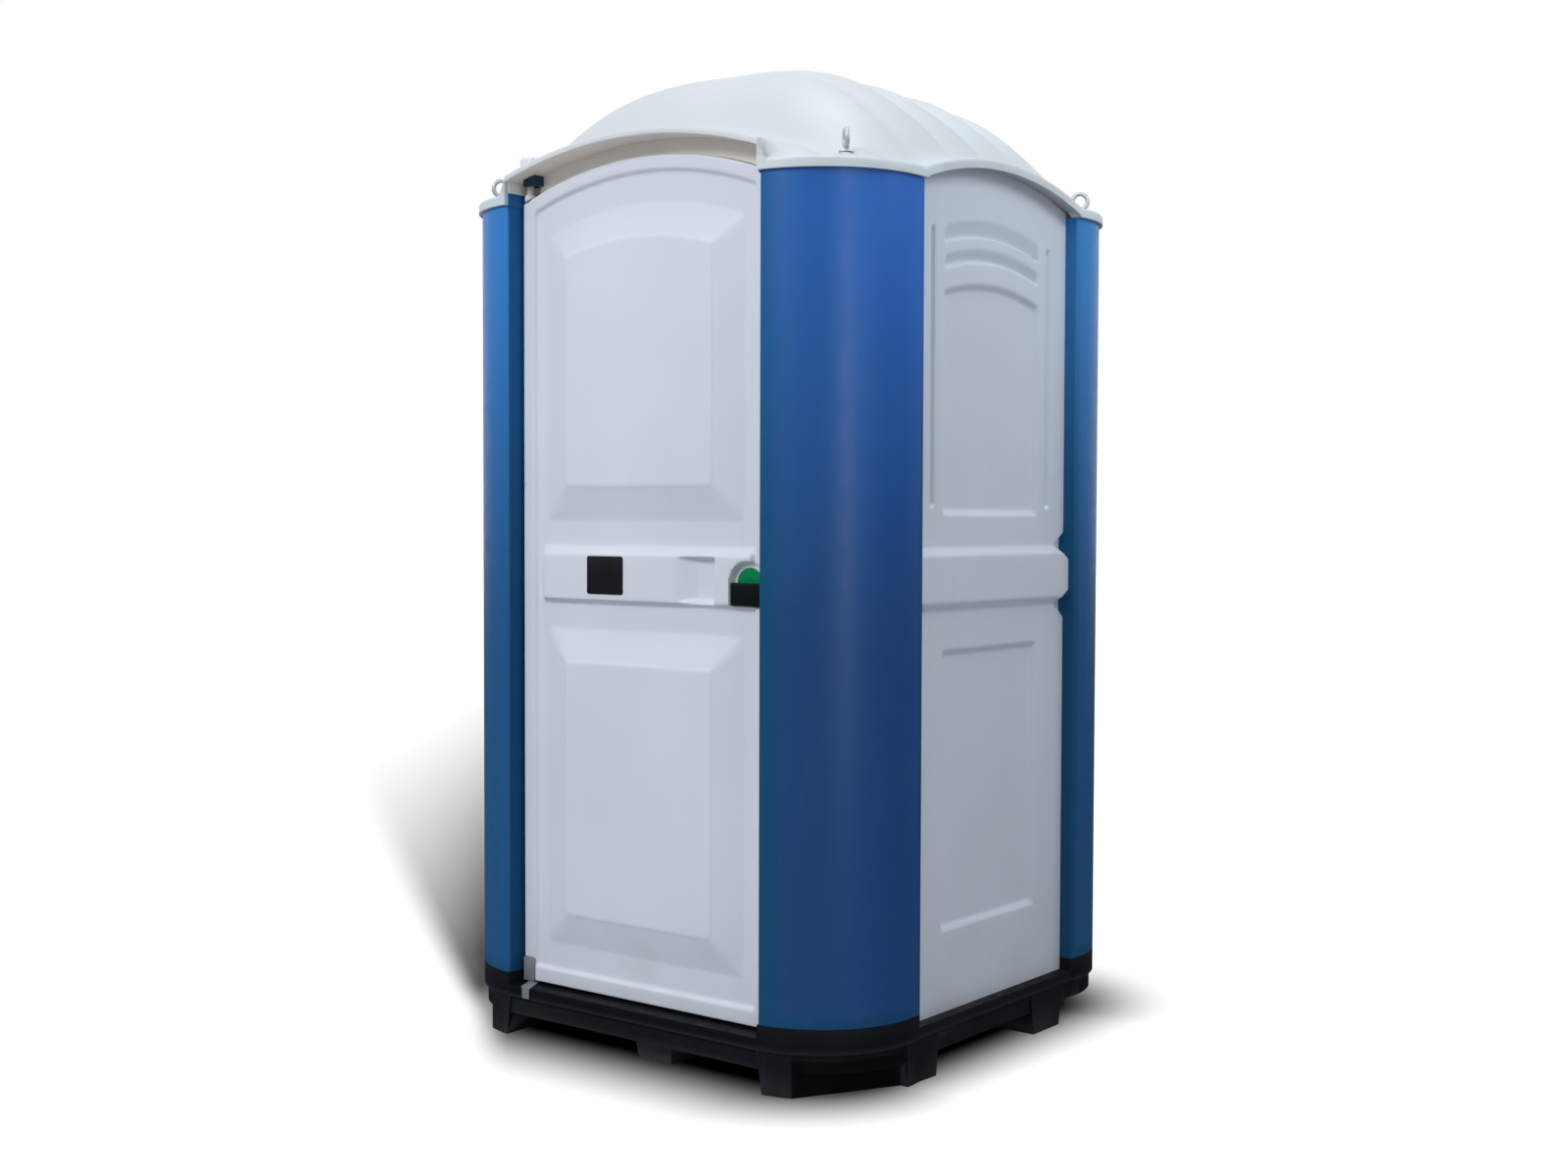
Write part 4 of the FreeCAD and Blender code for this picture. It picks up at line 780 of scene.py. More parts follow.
def applied(mesh, kind, values):
    """The mesh after one modifier."""
    holder = in_scene("holder", mesh)
    modifier = holder.modifiers.new(kind, kind)
    for key, value in values.items():
        setattr(modifier, key, value)
    return evaluated_mesh(holder)


print("a modifier is applied through a holder object")


# %% Plain solids to cut with
def finished_mesh(bm, name):
    """Ends a bmesh and gives its mesh."""
    mesh = bpy.data.meshes.new(name)
    bm.to_mesh(mesh)
    bm.free()
    return mesh


def box_mesh(low, high):
    """Plain box between two corners."""
    bm = bmesh.new()
    bmesh.ops.create_cube(bm, size=1.0)
    for v in bm.verts:
        v.co = Vector([(low[k] + (v.co[k] + 0.5) * (high[k] - low[k])) * MM for k in range(3)])
    return finished_mesh(bm, "box")


def rod_mesh(start, end, radius):
    """Plain rod between two points."""
    a = Vector(start) * MM
    b = Vector(end) * MM
    turn = (b - a).to_track_quat("Z", "Y").to_matrix().to_4x4()
    bm = bmesh.new()
    bmesh.ops.create_cone(bm, cap_ends=True, segments=32, radius1=radius * MM, radius2=radius * MM,
                          depth=(b - a).length)
    bmesh.ops.transform(bm, matrix=turn, verts=bm.verts)
    bmesh.ops.translate(bm, vec=(a + b) / 2, verts=bm.verts)
    return finished_mesh(bm, "rod")


def joined(meshes):
    bm = bmesh.new()
    for mesh in meshes:
        bm.from_mesh(mesh)
    return finished_mesh(bm, "joined")


def cut(mesh, *cutters):
    tool = in_scene("tool", joined(cutters))
    settings = {"operation": "DIFFERENCE", "solver": "EXACT", "object": tool}
    result = applied(mesh, "BOOLEAN", settings)
    bpy.data.objects.remove(tool)
    return result


print("cutters are boxes and rods")

# %% [markdown]
# Now the leaf itself: the pan that follows the relief, less the bolt's way and the spindle's.

# %% Door leaf
bolt_way = box_mesh((330, -531, 1023), (360, -519, 1045))
spindle_hole = 6.05


def spindle_way(outer_y, inner_y):
    return rod_mesh((latch_x, outer_y, latch_z), (latch_x, inner_y, latch_z), spindle_hole)


leaf = mesh_from(*pan(door_xs, door_ts, arch_rows, lambda x, z: door_face - door_relief(x, z),
                      door_back, skin_wall))
leaf = cut(leaf, bolt_way, spindle_way(-560, -500))
add_piece("door_leaf", leaf, "panel_white", "door", ["door_outer_skin"], sharp=40.0)

# %% [markdown]
# The inside of the door is a second sheet, stiffened by shallow upright channels. Its outline is
# inset by the skin's thickness, so that it lies inside the turned-in edge.

# %% Inner skin of the door
inner_inset = 3.6
inner_face = -515.5
channel_pitch, channel_half, channel_run, channel_deep = 120.0, 22.0, 8.0, 3.0
channel_centres = [i * channel_pitch for i in range(-2, 3)]
channel_runs = ((212.0, 930.0), (1150.0, 1700.0))
channel_ends = [190, 950, 1130, 1740]


def channel_relief(x, z):
    """Upright pressed channels with rounded ends."""
    total = np.zeros_like(x)
    for low, high in channel_runs:
        for centre in channel_centres:
            beyond = from_line(x - centre, z, low, high) - channel_half + channel_run
            total = total + channel_deep * (1 - smooth_clamp(beyond / channel_run, 0.2))
    return total


inner_half = door_half - inner_inset
channel_edges = both_sides(channel_half, channel_half - channel_run)
inner_xs = crowded(-inner_half, inner_half, [c + e for c in channel_centres for e in channel_edges],
                   3.0, 14.0)
inner_ts = crowded(door_foot + inner_inset, door_crest - inner_inset, channel_ends, 3.0, 22.0)
x, t = np.meshgrid(inner_xs, inner_ts)
z = arch_rows(x, t)
inner_y = inner_face - channel_relief(x, z)
inner_skin = mesh_from(*shell(np.stack([x, inner_y, z], axis=-1),
                              np.stack([x, inner_y + skin_wall, z], axis=-1)))
inner_skin = cut(inner_skin, spindle_way(-530, -500))
add_piece("door_inner_panel", inner_skin, "panel_white", "door", ["door_inner_skin"])

# %% [markdown]
# The walls are formed like the door: a rail in line with the door's, a sunk panel above and below,
# two arched louvres under the roof, a groove near each edge and a V notch at each end of the rail.
# The two side walls and the back wall share one relief and differ only in width and in the arch of
# their tops.

# %% Wall sizes, with the wall's outside towards -Y
wall_foot, wall_crest = 115.0, 1923.7
wall_back, wall_wall = 25.0, 4.0
rail_low, rail_high, rail_run, rail_rise = 973.0, 1107.0, 17.0, 14.0
sunk_half, sunk_run, sunk_deep, sunk_soft = 196.0, 12.0, 10.0, 4.0
sunk_upper = (1175.0, 1676.0)
sunk_lower = (288.0, 890.0)
louvre_radius, louvre_deep, louvre_slope, louvre_run = 700.0, 14.0, 0.86, 5.0
louvres = ((1812.0, 38.0, 19.0), (1750.0, 29.0, 15.0))  # top, height and belly of each
groove_at, groove_low, groove_high = 238.0, 1200.0, 1770.0
groove_half, groove_run, groove_deep = 3.5, 5.0, 13.0
notch_width, notch_half, notch_run, notch_deep = 45.0, 29.0, 5.0, 12.0
bend_from, bend_over, crown_from = 1250.0, 350.0, 1830.0
side_half, side_radius, side_away = 316.0, 1000.0, 543.0
back_half, back_radius, back_away = 357.0, 1250.0, 558.0
print("a louvre's ends hang", round(float(sag(louvre_radius, sunk_half)), 1), "mm low")


# %% Wall relief
def wall_relief(x, z, half):
    rail = np.minimum((rail_high - z) / rail_run, (z - rail_low) / rail_run)
    height = rail_rise * smooth_clamp(rail, 0.12)
    side = sunk_half - np.abs(x)
    crown = z + sag(louvre_radius, x)
    for ends in (smooth_least(z - sunk_upper[0], sunk_upper[1] - crown, sunk_soft),
                 smooth_least(z - sunk_lower[0], sunk_lower[1] - z, sunk_soft)):
        inside = smooth_least(side, ends, sunk_soft)
        height = height - sunk_deep * smooth_clamp(inside / sunk_run, 0.12)
    for top, tall, _ in louvres:
        down = (top - crown) / tall
        scoop = (smooth_clamp(down / louvre_slope, 0.05)
                 * smooth_clamp((1 - down) * tall / louvre_run, 0.2))
        height = height - louvre_deep * scoop * smooth_clamp((side - 3.0) / louvre_run, 0.2)
    beyond = from_line(np.abs(x) - groove_at, z, groove_low, groove_high) - groove_half
    height = height - groove_deep * (1 - smooth_clamp(beyond / groove_run, 0.2))
    for level in (rail_low, rail_high):
        into = notch_width - (half - np.abs(x)) - np.abs(z - level) * notch_width / notch_half
        inside = smooth_clamp(into / notch_run, 0.2)
        height = height * (1 - inside) - notch_deep * inside
    return height


def wall_rows(crest_radius):
    """Net rows that bend to the louvres' arch, and at the very top to the wall's own."""
    def place(x, t):
        rise = eased(np.clip((t - bend_from) / bend_over, 0.0, 1.0))
        near_top = np.clip((t - crown_from) / (wall_crest - crown_from), 0.0, 1.0)
        drop = (1 - near_top) * sag(louvre_radius, x) + near_top * sag(crest_radius, x)
        return t - rise * drop
    return place


print("the rail stands", rail_rise, "mm out and the sunk panels", sunk_deep, "mm in")


# %% Three walls
def wall_net(half):
    xs = [0.0] + both_sides(half, half - 3, half - notch_width, groove_at - 6, groove_at + 6,
                            sunk_half, sunk_half - sunk_run, sunk_half - 6)
    ts = [wall_foot, wall_foot + 3, wall_crest - 2.7, rail_low, rail_low + rail_run,
          rail_high - rail_run, rail_high, groove_low, groove_high]
    for low, high in (sunk_lower, sunk_upper):
        ts += [low, low + sunk_run, high - sunk_run, high]
    for top, tall, belly in louvres:
        ts += [top, top - 3, top - belly, top - tall]
    edge_zones = ((-half, 50 - half), (half - 50, half))
    notch_and_louvre_zones = ((rail_low - 31, rail_high + 31),
                              (louvres[1][0] - 32, louvres[0][0] + 3))
    return (crowded(-half, half, xs, 2.4, 13.0, zones=edge_zones),
            crowded(wall_foot, wall_crest, ts, 2.4, 16.0, zones=notch_and_louvre_zones))


def wall_piece(node, half, crest_radius, away, quarter_turns):
    """Wall made facing the front, then set away from the middle and turned to its side."""
    xs, ts = wall_net(half)
    points, faces = pan(xs, ts, wall_rows(crest_radius), lambda x, z: -wall_relief(x, z, half),
                        wall_back, wall_wall)
    points[:, 1] -= away
    for _ in range(quarter_turns):
        points = np.stack([-points[:, 1], points[:, 0], points[:, 2]], axis=1)
    add_piece(node + "_panel", mesh_from(points, faces), "panel_white", "cabin", [node], sharp=40.0)


wall_piece("side_wall_right", side_half, side_radius, side_away, 1)
wall_piece("side_wall_left", side_half, side_radius, side_away, 3)
wall_piece("back_wall", back_half, back_radius, back_away, 2)

# %% [markdown]
# Each corner column is an extruded profile: a wide convex face between two returns. A profile that
# is filled and drawn up is a rule that Geometry Nodes states well, so one tree makes all four from
# a curve, with the height as its input. The face's two long edges are rounded, as a mould leaves
# them.

# %% Column profile, for the right rear corner
corner_centre = np.array([343.0, 358.0])
corner_radius = 232.0
column_low, column_high = 143.0, 1862.0
return_top = 1888.0
column_x, column_y = 575.0, 590.0
return_x, return_y = 357.0, 316.0
return_end = 518.0
column_wall = 5.0
column_fillet = 9.0
stop_lip_width = 8.0
front_return, rear_return = 87.0, 57.0


def arc_points(radius, start, end, steps):
    return [(corner_centre[0] + radius * math.cos(a), corner_centre[1] + radius * math.sin(a))
            for a in np.linspace(start, end, steps)]


def softened_corner(before, corner, after, radius, steps=5):
    """Points of a fillet between two straight runs that meet at a corner."""
    p, q, r = (np.array(v, dtype=float) for v in (before, corner, after))
    a = (p - q) / np.linalg.norm(p - q)
    b = (r - q) / np.linalg.norm(r - q)
    half = math.acos(np.clip(a @ b, -1, 1)) / 2
    reach = min(radius / math.tan(half), 0.45 * np.linalg.norm(p - q), 0.45 * np.linalg.norm(r - q))
    points = []
    for s in np.linspace(0.0, 1.0, steps):
        curve = (1 - s) ** 2 * (q + a * reach) + 2 * s * (1 - s) * q + s ** 2 * (q + b * reach)
        points.append(tuple(curve))
    return points


print("corner round", corner_radius, "mm, column", column_high - column_low, "mm tall")


# %% Outline of a column
def column_outline(return_depth, stop_lip):
    """Outline of a column. On a front one a lip at the return's end stops the door."""
    def on_arc(radius, x):
        return math.acos((x - corner_centre[0]) / radius)
    inner_radius = corner_radius - column_wall
    outer = arc_points(corner_radius, on_arc(corner_radius, return_x), 0.0, 29)
    inner = arc_points(inner_radius, 0.0, on_arc(inner_radius, return_x + column_wall), 25)
    deep = column_y - return_depth
    side_end, side_corner = (return_end, return_y), (column_x, return_y)
    outline = softened_corner((return_x, deep), outer[0], outer[2], column_fillet) + outer[2:]
    outline += softened_corner(outer[-1], side_corner, side_end, column_fillet)
    outline += [side_end, (return_end, return_y + column_wall),
                (column_x - column_wall, return_y + column_wall)] + inner
    outline += [(return_x + column_wall, deep + (column_wall if stop_lip else 0.0))]
    if stop_lip:
        lip_x = return_x - stop_lip_width
        outline += [(return_x + column_wall, deep), (lip_x, deep), (lip_x, deep + column_wall),
                    (return_x, deep + column_wall)]
    else:
        outline += [(return_x, deep)]
    return outline


print("a front column's profile has", len(column_outline(front_return, True)), "points")


# %% Geometry Nodes: the two ends of a tree, and its use
def geometry_tree(name, source, size):
    """New tree, its builder, its inputs and the identifier of its size."""
    tree = bpy.data.node_groups.new(name, "GeometryNodeTree")
    new_socket = tree.interface.new_socket
    new_socket(name=source, in_out="INPUT", socket_type="NodeSocketGeometry")
    size_socket = new_socket(name=size, in_out="INPUT", socket_type="NodeSocketFloat")
    new_socket(name="Geometry", in_out="OUTPUT", socket_type="NodeSocketGeometry")
    return tree, Nodes(tree), tree.nodes.new("NodeGroupInput").outputs, size_socket.identifier


def end_tree(n, geometry, slot):
    """Makes instances real and gives the result its finish."""
    real = n.add("GeometryNodeRealizeInstances", {"Geometry": geometry}).outputs["Geometry"]
    dressed = n.add("GeometryNodeSetMaterial", {"Geometry": real, "Material": finishes[slot]})
    n.add("NodeGroupOutput", {"Geometry": dressed.outputs["Geometry"]})


def grown(data, tree, size_input, size):
    """Plain mesh that a tree makes of some data, at a given size."""
    holder = in_scene("holder", data)
    modifier = holder.modifiers.new("grow", "NODES")
    modifier.node_group = tree
    modifier[size_input] = size
    return evaluated_mesh(holder)


print("Geometry Nodes helpers ready")


# %% Geometry Nodes tree that draws a profile up
def profile_tree(slot):
    tree, n, entry, height_input = geometry_tree("draw_up_" + slot, "Profile", "Height")
    face = n.add("GeometryNodeFillCurve", {"Curve": entry["Profile"]}, mode="NGONS").outputs["Mesh"]
    up = n.add("ShaderNodeCombineXYZ", {"Z": entry["Height"]}).outputs["Vector"]
    drawn = n.add("GeometryNodeExtrudeMesh", {"Mesh": face, "Offset": up, "Offset Scale": 1.0,
                                              "Individual": False})
    foot = n.add("GeometryNodeFlipFaces", {"Mesh": face})
    both = n.add("GeometryNodeJoinGeometry")
    for half in (drawn, foot):
        n.put(both.inputs["Geometry"], half.outputs["Mesh"])
    merged = n.add("GeometryNodeMergeByDistance", {"Geometry": both.outputs["Geometry"],
                                                   "Distance": 0.0001})
    end_tree(n, merged.outputs["Geometry"], slot)
    return tree, height_input


column_tree, height_input = profile_tree("column_blue")


def drawn_up(outline, low, high):
    """Mesh of a flat outline, drawn up from low to high."""
    curve = bpy.data.curves.new("profile", "CURVE")
    curve.dimensions = "2D"
    spline = curve.splines.new("POLY")
    spline.points.add(len(outline) - 1)
    for point, (x, y) in zip(spline.points, outline):
        point.co = (x * MM, y * MM, 0.0, 1.0)
    spline.use_cyclic_u = True
    mesh = grown(curve, column_tree, height_input, (high - low) * MM)
    for v in mesh.vertices:
        v.co.z += low * MM
    return mesh


print("tree", column_tree.name, "has", len(column_tree.nodes), "nodes")

# %% [markdown]
# The four columns are that one profile, mirrored. A front column has a deeper return, which stands
# up beside the door as far as the hood. The right front one also has the slot for the door's bolt.

# %% Four columns
strike_slot = box_mesh((340, -532, 1022), (380, -518, 1046))
cheek_front, cheek_rear = -587.0, -531.0
cheek_near, cheek_far = 354.4, 357.4


def cheek(side, low, high):
    """Thin upright plate beside the hood's end, on the left or the right."""
    left, right = sorted((side * cheek_near, side * cheek_far))
    return box_mesh((left, cheek_front, low), (right, cheek_rear, high))


def column_piece(node, side, end):
    front = end < 0
    outline = column_outline(front_return if front else rear_return, front)
    mesh = drawn_up([(side * x, end * y) for x, y in outline], column_low, column_high)
    if front and side > 0:
        mesh = cut(mesh, strike_slot)
    outward(mesh)
    if front:
        mesh = joined([mesh, cheek(side, 1858.0, return_top)])
    add_piece(node + "_shell", mesh, "column_blue", "cabin", [node], sharp=42.0)


for node, side, end in (("column_front_right", 1, -1), ("column_front_left", -1, -1),
                        ("column_back_right", 1, 1), ("column_back_left", -1, 1)):
    column_piece(node, side, end)

# %% [markdown]
# The roof is one moulding. A flat rim follows the cabin's outline, a hood arches over the door and
# each wall, and a dome with four scalloped channels rises between them. The upper side is the
# greatest of rim, hoods and dome, with the dome blended in softly, and the lower side is hollowed
# in the same way from below. Formulas suit this better than sculpting, because each arch must meet
# a wall's own arch.

# %% Roof sizes
roof_half_x, roof_half_y = 583.0, 598.0
rim_low, rim_high, rim_round = 1862.0, 1884.0, 8.0
roof_corner_radius = corner_radius + 8.0
dome_base, dome_rise = 1828.0, 335.0
dome_x, dome_y = 594.0, 535.0
dome_square_x, dome_square_y, dome_fullness = 3.3, 5.2, 1.235
dome_wall, dome_blend = 4.0, 12.0
valleys = [-115.0 + 155.0 * i for i in range(4)]
valley_depths = (26.0, 26.0, 26.0, 9.0)
valley_reach, valley_round = 74.0, 3.0
fade_from, fade_over, fade_share = 310.0, 130.0, 0.65
brow_y, brow_reach, brow_depth, brow_left, brow_over = -285.0, 34.0, 8.0, -60.0, 200.0
hood_wall = 14.0
hood_steep, hood_soften, soften_from, soften_over = 5.0, 1.5, 15.0, 75.0
hood_back, hood_back_over = 150.0, 60.0
front_hood = (1983.0, 1164.0, return_x)  # crest, radius and half width of the upper side
rear_hood = (1938.0, 1264.0, return_x)
side_hood = (1938.0, 1014.0, return_y)
side_lip, lip_from, lip_over = 7.0, 569.0, 4.0
eye_x, eye_y, eye_seat, boss_radius, boss_over = 490.0, 478.0, 1899.0, 15.0, 7.0
print("the dome's crown lies at", dome_base + dome_rise, "mm before its channels are sunk")


# %% Plan, dome and hoods
def plan_half_width(y):
    """Half width of the roof at y, which narrows round the corners."""
    beyond = np.maximum(np.abs(y) - corner_centre[1], 0.0)
    arc = corner_centre[0] + np.sqrt(np.maximum(roof_corner_radius ** 2 - beyond ** 2, 0.0))
    return np.where(np.abs(y) > return_y, np.minimum(arc, roof_half_x), roof_half_x)


def dome(x, y, grow):
    """The dome's height, with its scalloped channels and the brow before the first of them."""
    along = np.clip(np.abs(y) / (dome_y + grow), 0.0, 1.0)
    across = np.clip(np.abs(x) / (dome_x + grow), 0.0, 1.0)
    plan = (1 - across ** dome_square_x) * (1 - along ** dome_square_y)
    rise = (dome_rise + grow) * plan ** dome_fullness
    drop = np.zeros_like(x)
    for valley, depth in zip(valleys, valley_depths):
        offset = np.hypot(y - valley, valley_round) - valley_round
        drop = drop + depth * np.clip(1.0 - offset / valley_reach, 0.0, 1.0) ** 2
    drop = drop * (1 - fade_share * smooth_clamp((np.abs(x) - fade_from) / fade_over, 0.2))
    brow = np.exp(-((y - brow_y) / brow_reach) ** 2)
    drop = drop + brow_depth * brow * np.clip((x - brow_left) / brow_over, 0.0, 1.0)
    return dome_base + np.maximum(rise - drop * (1 - across ** 6), 0.0)


def hood(across, inward, crest, radius, half):
    """Arched hood that ends steeply at its front and in a softer shoulder further in."""
    beyond = np.maximum(np.abs(across) - half, 0.0)
    arch = crest - sag(radius, np.minimum(np.abs(across), half))
    shoulder = hood_steep + hood_soften * np.clip(inward - soften_from, 0.0, soften_over)
    fall = 1 - eased(np.clip(beyond / shoulder, 0.0, 1.0))
    back = 1 - smooth_clamp((inward - hood_back) / hood_back_over, 0.2)
    return rim_high + (arch - rim_high) * fall * back


print("roof", 2 * roof_half_x, "by", 2 * roof_half_y, "mm")


# %% Upper and lower side of the roof
def roof_top(x, y):
    height = np.full_like(x, rim_high)
    for across, inward, arch in ((x, y + roof_half_y, front_hood), (x, roof_half_y - y, rear_hood),
                                 (y, roof_half_x - np.abs(x), side_hood)):
        height = np.maximum(height, hood(across, inward, *arch))
    height = smooth_most(height, dome(x, y, 0.0), dome_blend)
    from_eye = np.hypot(np.abs(x) - eye_x, np.abs(y) - eye_y)
    boss = 1 - smooth_clamp((from_eye - boss_radius) / boss_over, 0.2)
    height = np.maximum(height, rim_high + (eye_seat - rim_high) * boss)
    corner = roof_corner_radius - np.hypot(np.maximum(np.abs(x) - corner_centre[0], 0.0),
                                           np.maximum(np.abs(y) - corner_centre[1], 0.0))
    straight = np.minimum(roof_half_x - np.abs(x), roof_half_y - np.abs(y))
    in_corner = (np.abs(x) > return_x) & (np.abs(y) > return_y)
    return height - round_fall(rim_round, np.where(in_corner, corner, straight))


def hollow(across, here, crest, radius, half):
    """Underside of a hood over the part of the plan that it covers."""
    arch = crest - hood_wall - sag(radius - hood_wall, np.clip(across, -half, half))
    return np.where(here & (np.abs(across) < half), arch, 0.0)


def roof_under(x, y):
    lip = side_lip * np.clip((np.abs(x) - lip_from) / lip_over, 0.0, 1.0)
    height = np.full_like(x, rim_low)
    for surface in (dome(x, y, -dome_wall), hollow(x, y < 0, *front_hood),
                    hollow(x, y > 0, *rear_hood), hollow(y, True, *side_hood) - lip):
        height = np.maximum(height, surface)
    return height


print("the roof is", round(2 * float(plan_half_width(np.array(500.0)))), "mm wide at its eyes")

# %% [markdown]
# The net covers the plan. Its middle columns run straight from front to back, and its outer ones
# are squeezed to follow the round corners, so the border is smooth and no face is cut. Rows lie
# close at the walls' ends, where the hollows under the hoods start.

# %% Roof net
straight_half, squeezed_from = 356.9, 357.1
net_seam = 0.00004  # metres between points that are merged
row_features = both_sides(598, 592, 535, 500, 318) + valleys
side_share = np.unique(np.concatenate([np.linspace(0, 1, 19), [
    0.007, 0.014, 0.021, 0.03, 0.04, 0.08, 0.93, 0.955, 0.97, 0.98, 0.99]]))
straight_xs = crowded(-straight_half, straight_half, both_sides(356) + [0], 4.0, 13.0)
y_lines = crowded(-roof_half_y, roof_half_y, row_features, 3.0, 12.0, reach=14.0)
y_lines = np.unique(np.concatenate([y_lines, both_sides(316.1, 315.9, 0.05)]))
rows = []
for half in plan_half_width(y_lines):
    right = squeezed_from + max(half - squeezed_from, 0.0) * side_share
    rows.append(np.concatenate([-right[::-1], straight_xs, right]))
roof_x = np.array(rows)
roof_y = np.repeat(y_lines[:, None], roof_x.shape[1], axis=1)
top = roof_top(roof_x, roof_y)
under = np.minimum(roof_under(roof_x, roof_y), top - skin_wall)
roof = mesh_from(*shell(np.stack([roof_x, roof_y, top], axis=-1),
                        np.stack([roof_x, roof_y, under], axis=-1)))
bm = bmesh.new()
bm.from_mesh(roof)
bmesh.ops.remove_doubles(bm, verts=bm.verts, dist=net_seam)
bm.to_mesh(roof)
bm.free()
outward(roof)
add_piece("roof_shell", roof, "roof_translucent", "cabin", ["roof_dome"], sharp=50.0)

# %% [markdown]
# The pallet base, the header and the fittings keep the CAD's solids, but a moulded or pressed piece
# has no sharp arris. So each is copied, merged, freed of needless edges and given a small bevel. A
# few are also brought closer to the photograph by a function that says where each of their points
# goes.

# %% Where some points of the copies go
plain_centre = np.array([289.60, 312.65])
plain_radius = 285.42
hinge_x, hinge_y = -334.0, -540.0
carried_from, carried_over = 0.55, 0.40  # shares of the corner's radius
block_foot, block_stretch = 988.0, 1.08
header_low, header_high, header_radius, header_drop = 1880.0, 1950.0, 945.0, 3.9
cap_foot, cap_stretch = 1929.0, 1.35
bracket_lean = 0.62
strap_stretch = 1.7
bearing_x, bearing_z, bearing_middle = -320.0, 1926.5, 1924.4
bearing_wide, bearing_deep, bearing_tall = 1.05, 1.1, 0.74  # against the solid's own sizes


def fuller_corner(x, y, z):
    """Carries the base's round corners out to the fuller round of the columns."""
    ax, ay = abs(x) - plain_centre[0], abs(y) - plain_centre[1]
    reach = math.hypot(ax, ay)
    if abs(x) < return_x or abs(y) < return_y or reach < 1.0:
        return x, y, z
    ux, uy = ax / reach, ay / reach
    gap = plain_centre - corner_centre
    along = gap[0] * ux + gap[1] * uy
    out = -along + math.sqrt(along ** 2 - gap @ gap + corner_radius ** 2)
    out = min(out, (column_x - plain_centre[0]) / max(ux, 0.01),
              (column_y - plain_centre[1]) / max(uy, 0.01))
    share = np.clip((reach / plain_radius - carried_from) / carried_over, 0.0, 1.0)
    grow = 1 + (out / plain_radius - 1) * eased(share)
    return (math.copysign(plain_centre[0] + ax * grow, x),
            math.copysign(plain_centre[1] + ay * grow, y), z)


def taller_block(x, y, z):
    """Lifts the top of the latch's cover over the lower half of the indicator."""
    return x, y, block_foot + (z - block_foot) * block_stretch


def lower_header(x, y, z):
    """Narrows the gap that shows over the door, by the points near the header's lower arch."""
    below_crest = sag(header_radius, x)
    near_arch = header_low - below_crest < z < header_high - below_crest
    return x, y, z - header_drop if near_arch else z


def taller_cap(x, y, z):
    return x, y, cap_foot + (z - cap_foot) * cap_stretch


def bent_bracket(x, y, z):
    """Brings the bracket's front limb under the strap, as seen from the front right."""
    return x + bracket_lean * max(0.0, hinge_y - y), y, z


def wider_strap(x, y, z):
    return hinge_x + (x - hinge_x) * strap_stretch, y, z


def bearing_place(x, y, z):
    """Brings the upper hinge's bearing to the small block that shows under the hood."""
    return (bearing_x + (x - hinge_x) * bearing_wide, hinge_y + (y - hinge_y) * bearing_deep,
            bearing_z + (z - bearing_middle) * bearing_tall)


corner_move = math.dist(fuller_corner(500.0, 500.0, 0.0), (500.0, 500.0, 0.0))
print("the base's corners move out by about", round(corner_move, 1), "mm")

# %% [markdown]
# The table gives, for each copied node, its body, its bevel's width and number of segments, and
# what else is special about it. Softer mouldings get wider bevels with more segments.

# %% Which CAD nodes are softened, and how
bracket_grey = moulded_finish("bracket_grey_steel", (0.20, 0.22, 0.25), 0.40, 0.55, grain=300.0,
                              depth=0.0002)
bearing_teal = moulded_finish("bearing_teal_plastic", (0.008, 0.045, 0.070), 0.40, 0.55)
same_point = 0.00002  # metres
nearly_flat, bevelled_from = math.radians(1.0), math.radians(28.0)
softened_nodes = {
    "base_pallet": ("cabin", 3.0, 3, {"moved": fuller_corner}),
    # The header wears a warm tone of painted shade.
    "door_header": ("cabin", 2.5, 2, {"moved": lower_header, "finish": header_warm_shade}),
    "hinge_cap": ("cabin", 3.0, 3, {"moved": taller_cap}),
    "hinge_bearing_top": ("cabin", 1.5, 2, {"moved": bearing_place, "finish": bearing_teal}),
    "hinge_bracket_bottom": ("cabin", 0.8, 2, {"moved": bent_bracket, "finish": bracket_grey}),
    "hinge_strap": ("door", 0.7, 2, {"moved": wider_strap, "finish": bracket_grey}),
    "sign_plate": ("door", 0.6, 2, {}),
    "latch_block": ("door", 1.6, 3, {"moved": taller_block}),
    "indicator_vacant": ("latch", 0.6, 2, {}),
    "indicator_engaged": ("latch", 0.6, 2, {}),
    "waste_tank": ("cabin", 8.0, 3, {}),
    "seat_ring": ("seat", 4.0, 3, {}),
    "seat_lid": ("lid", 3.5, 3, {}),
    "seat_hinge_posts": ("cabin", 1.5, 2, {}),
    "paper_holder": ("cabin", 1.2, 2, {}),
    "coat_hook": ("cabin", 2.0, 3, {}),
    "vent_cap": ("cabin", 1.5, 2, {}),
    "vent_clips": ("cabin", 1.5, 2, {}),
    "latch_knob": ("latch", 1.5, 2, {}),
    "latch_rose": ("door", 0.8, 2, {}),
    "floor_pan": ("cabin", 1.2, 2, {}),
}
print(len(softened_nodes), "nodes are softened")


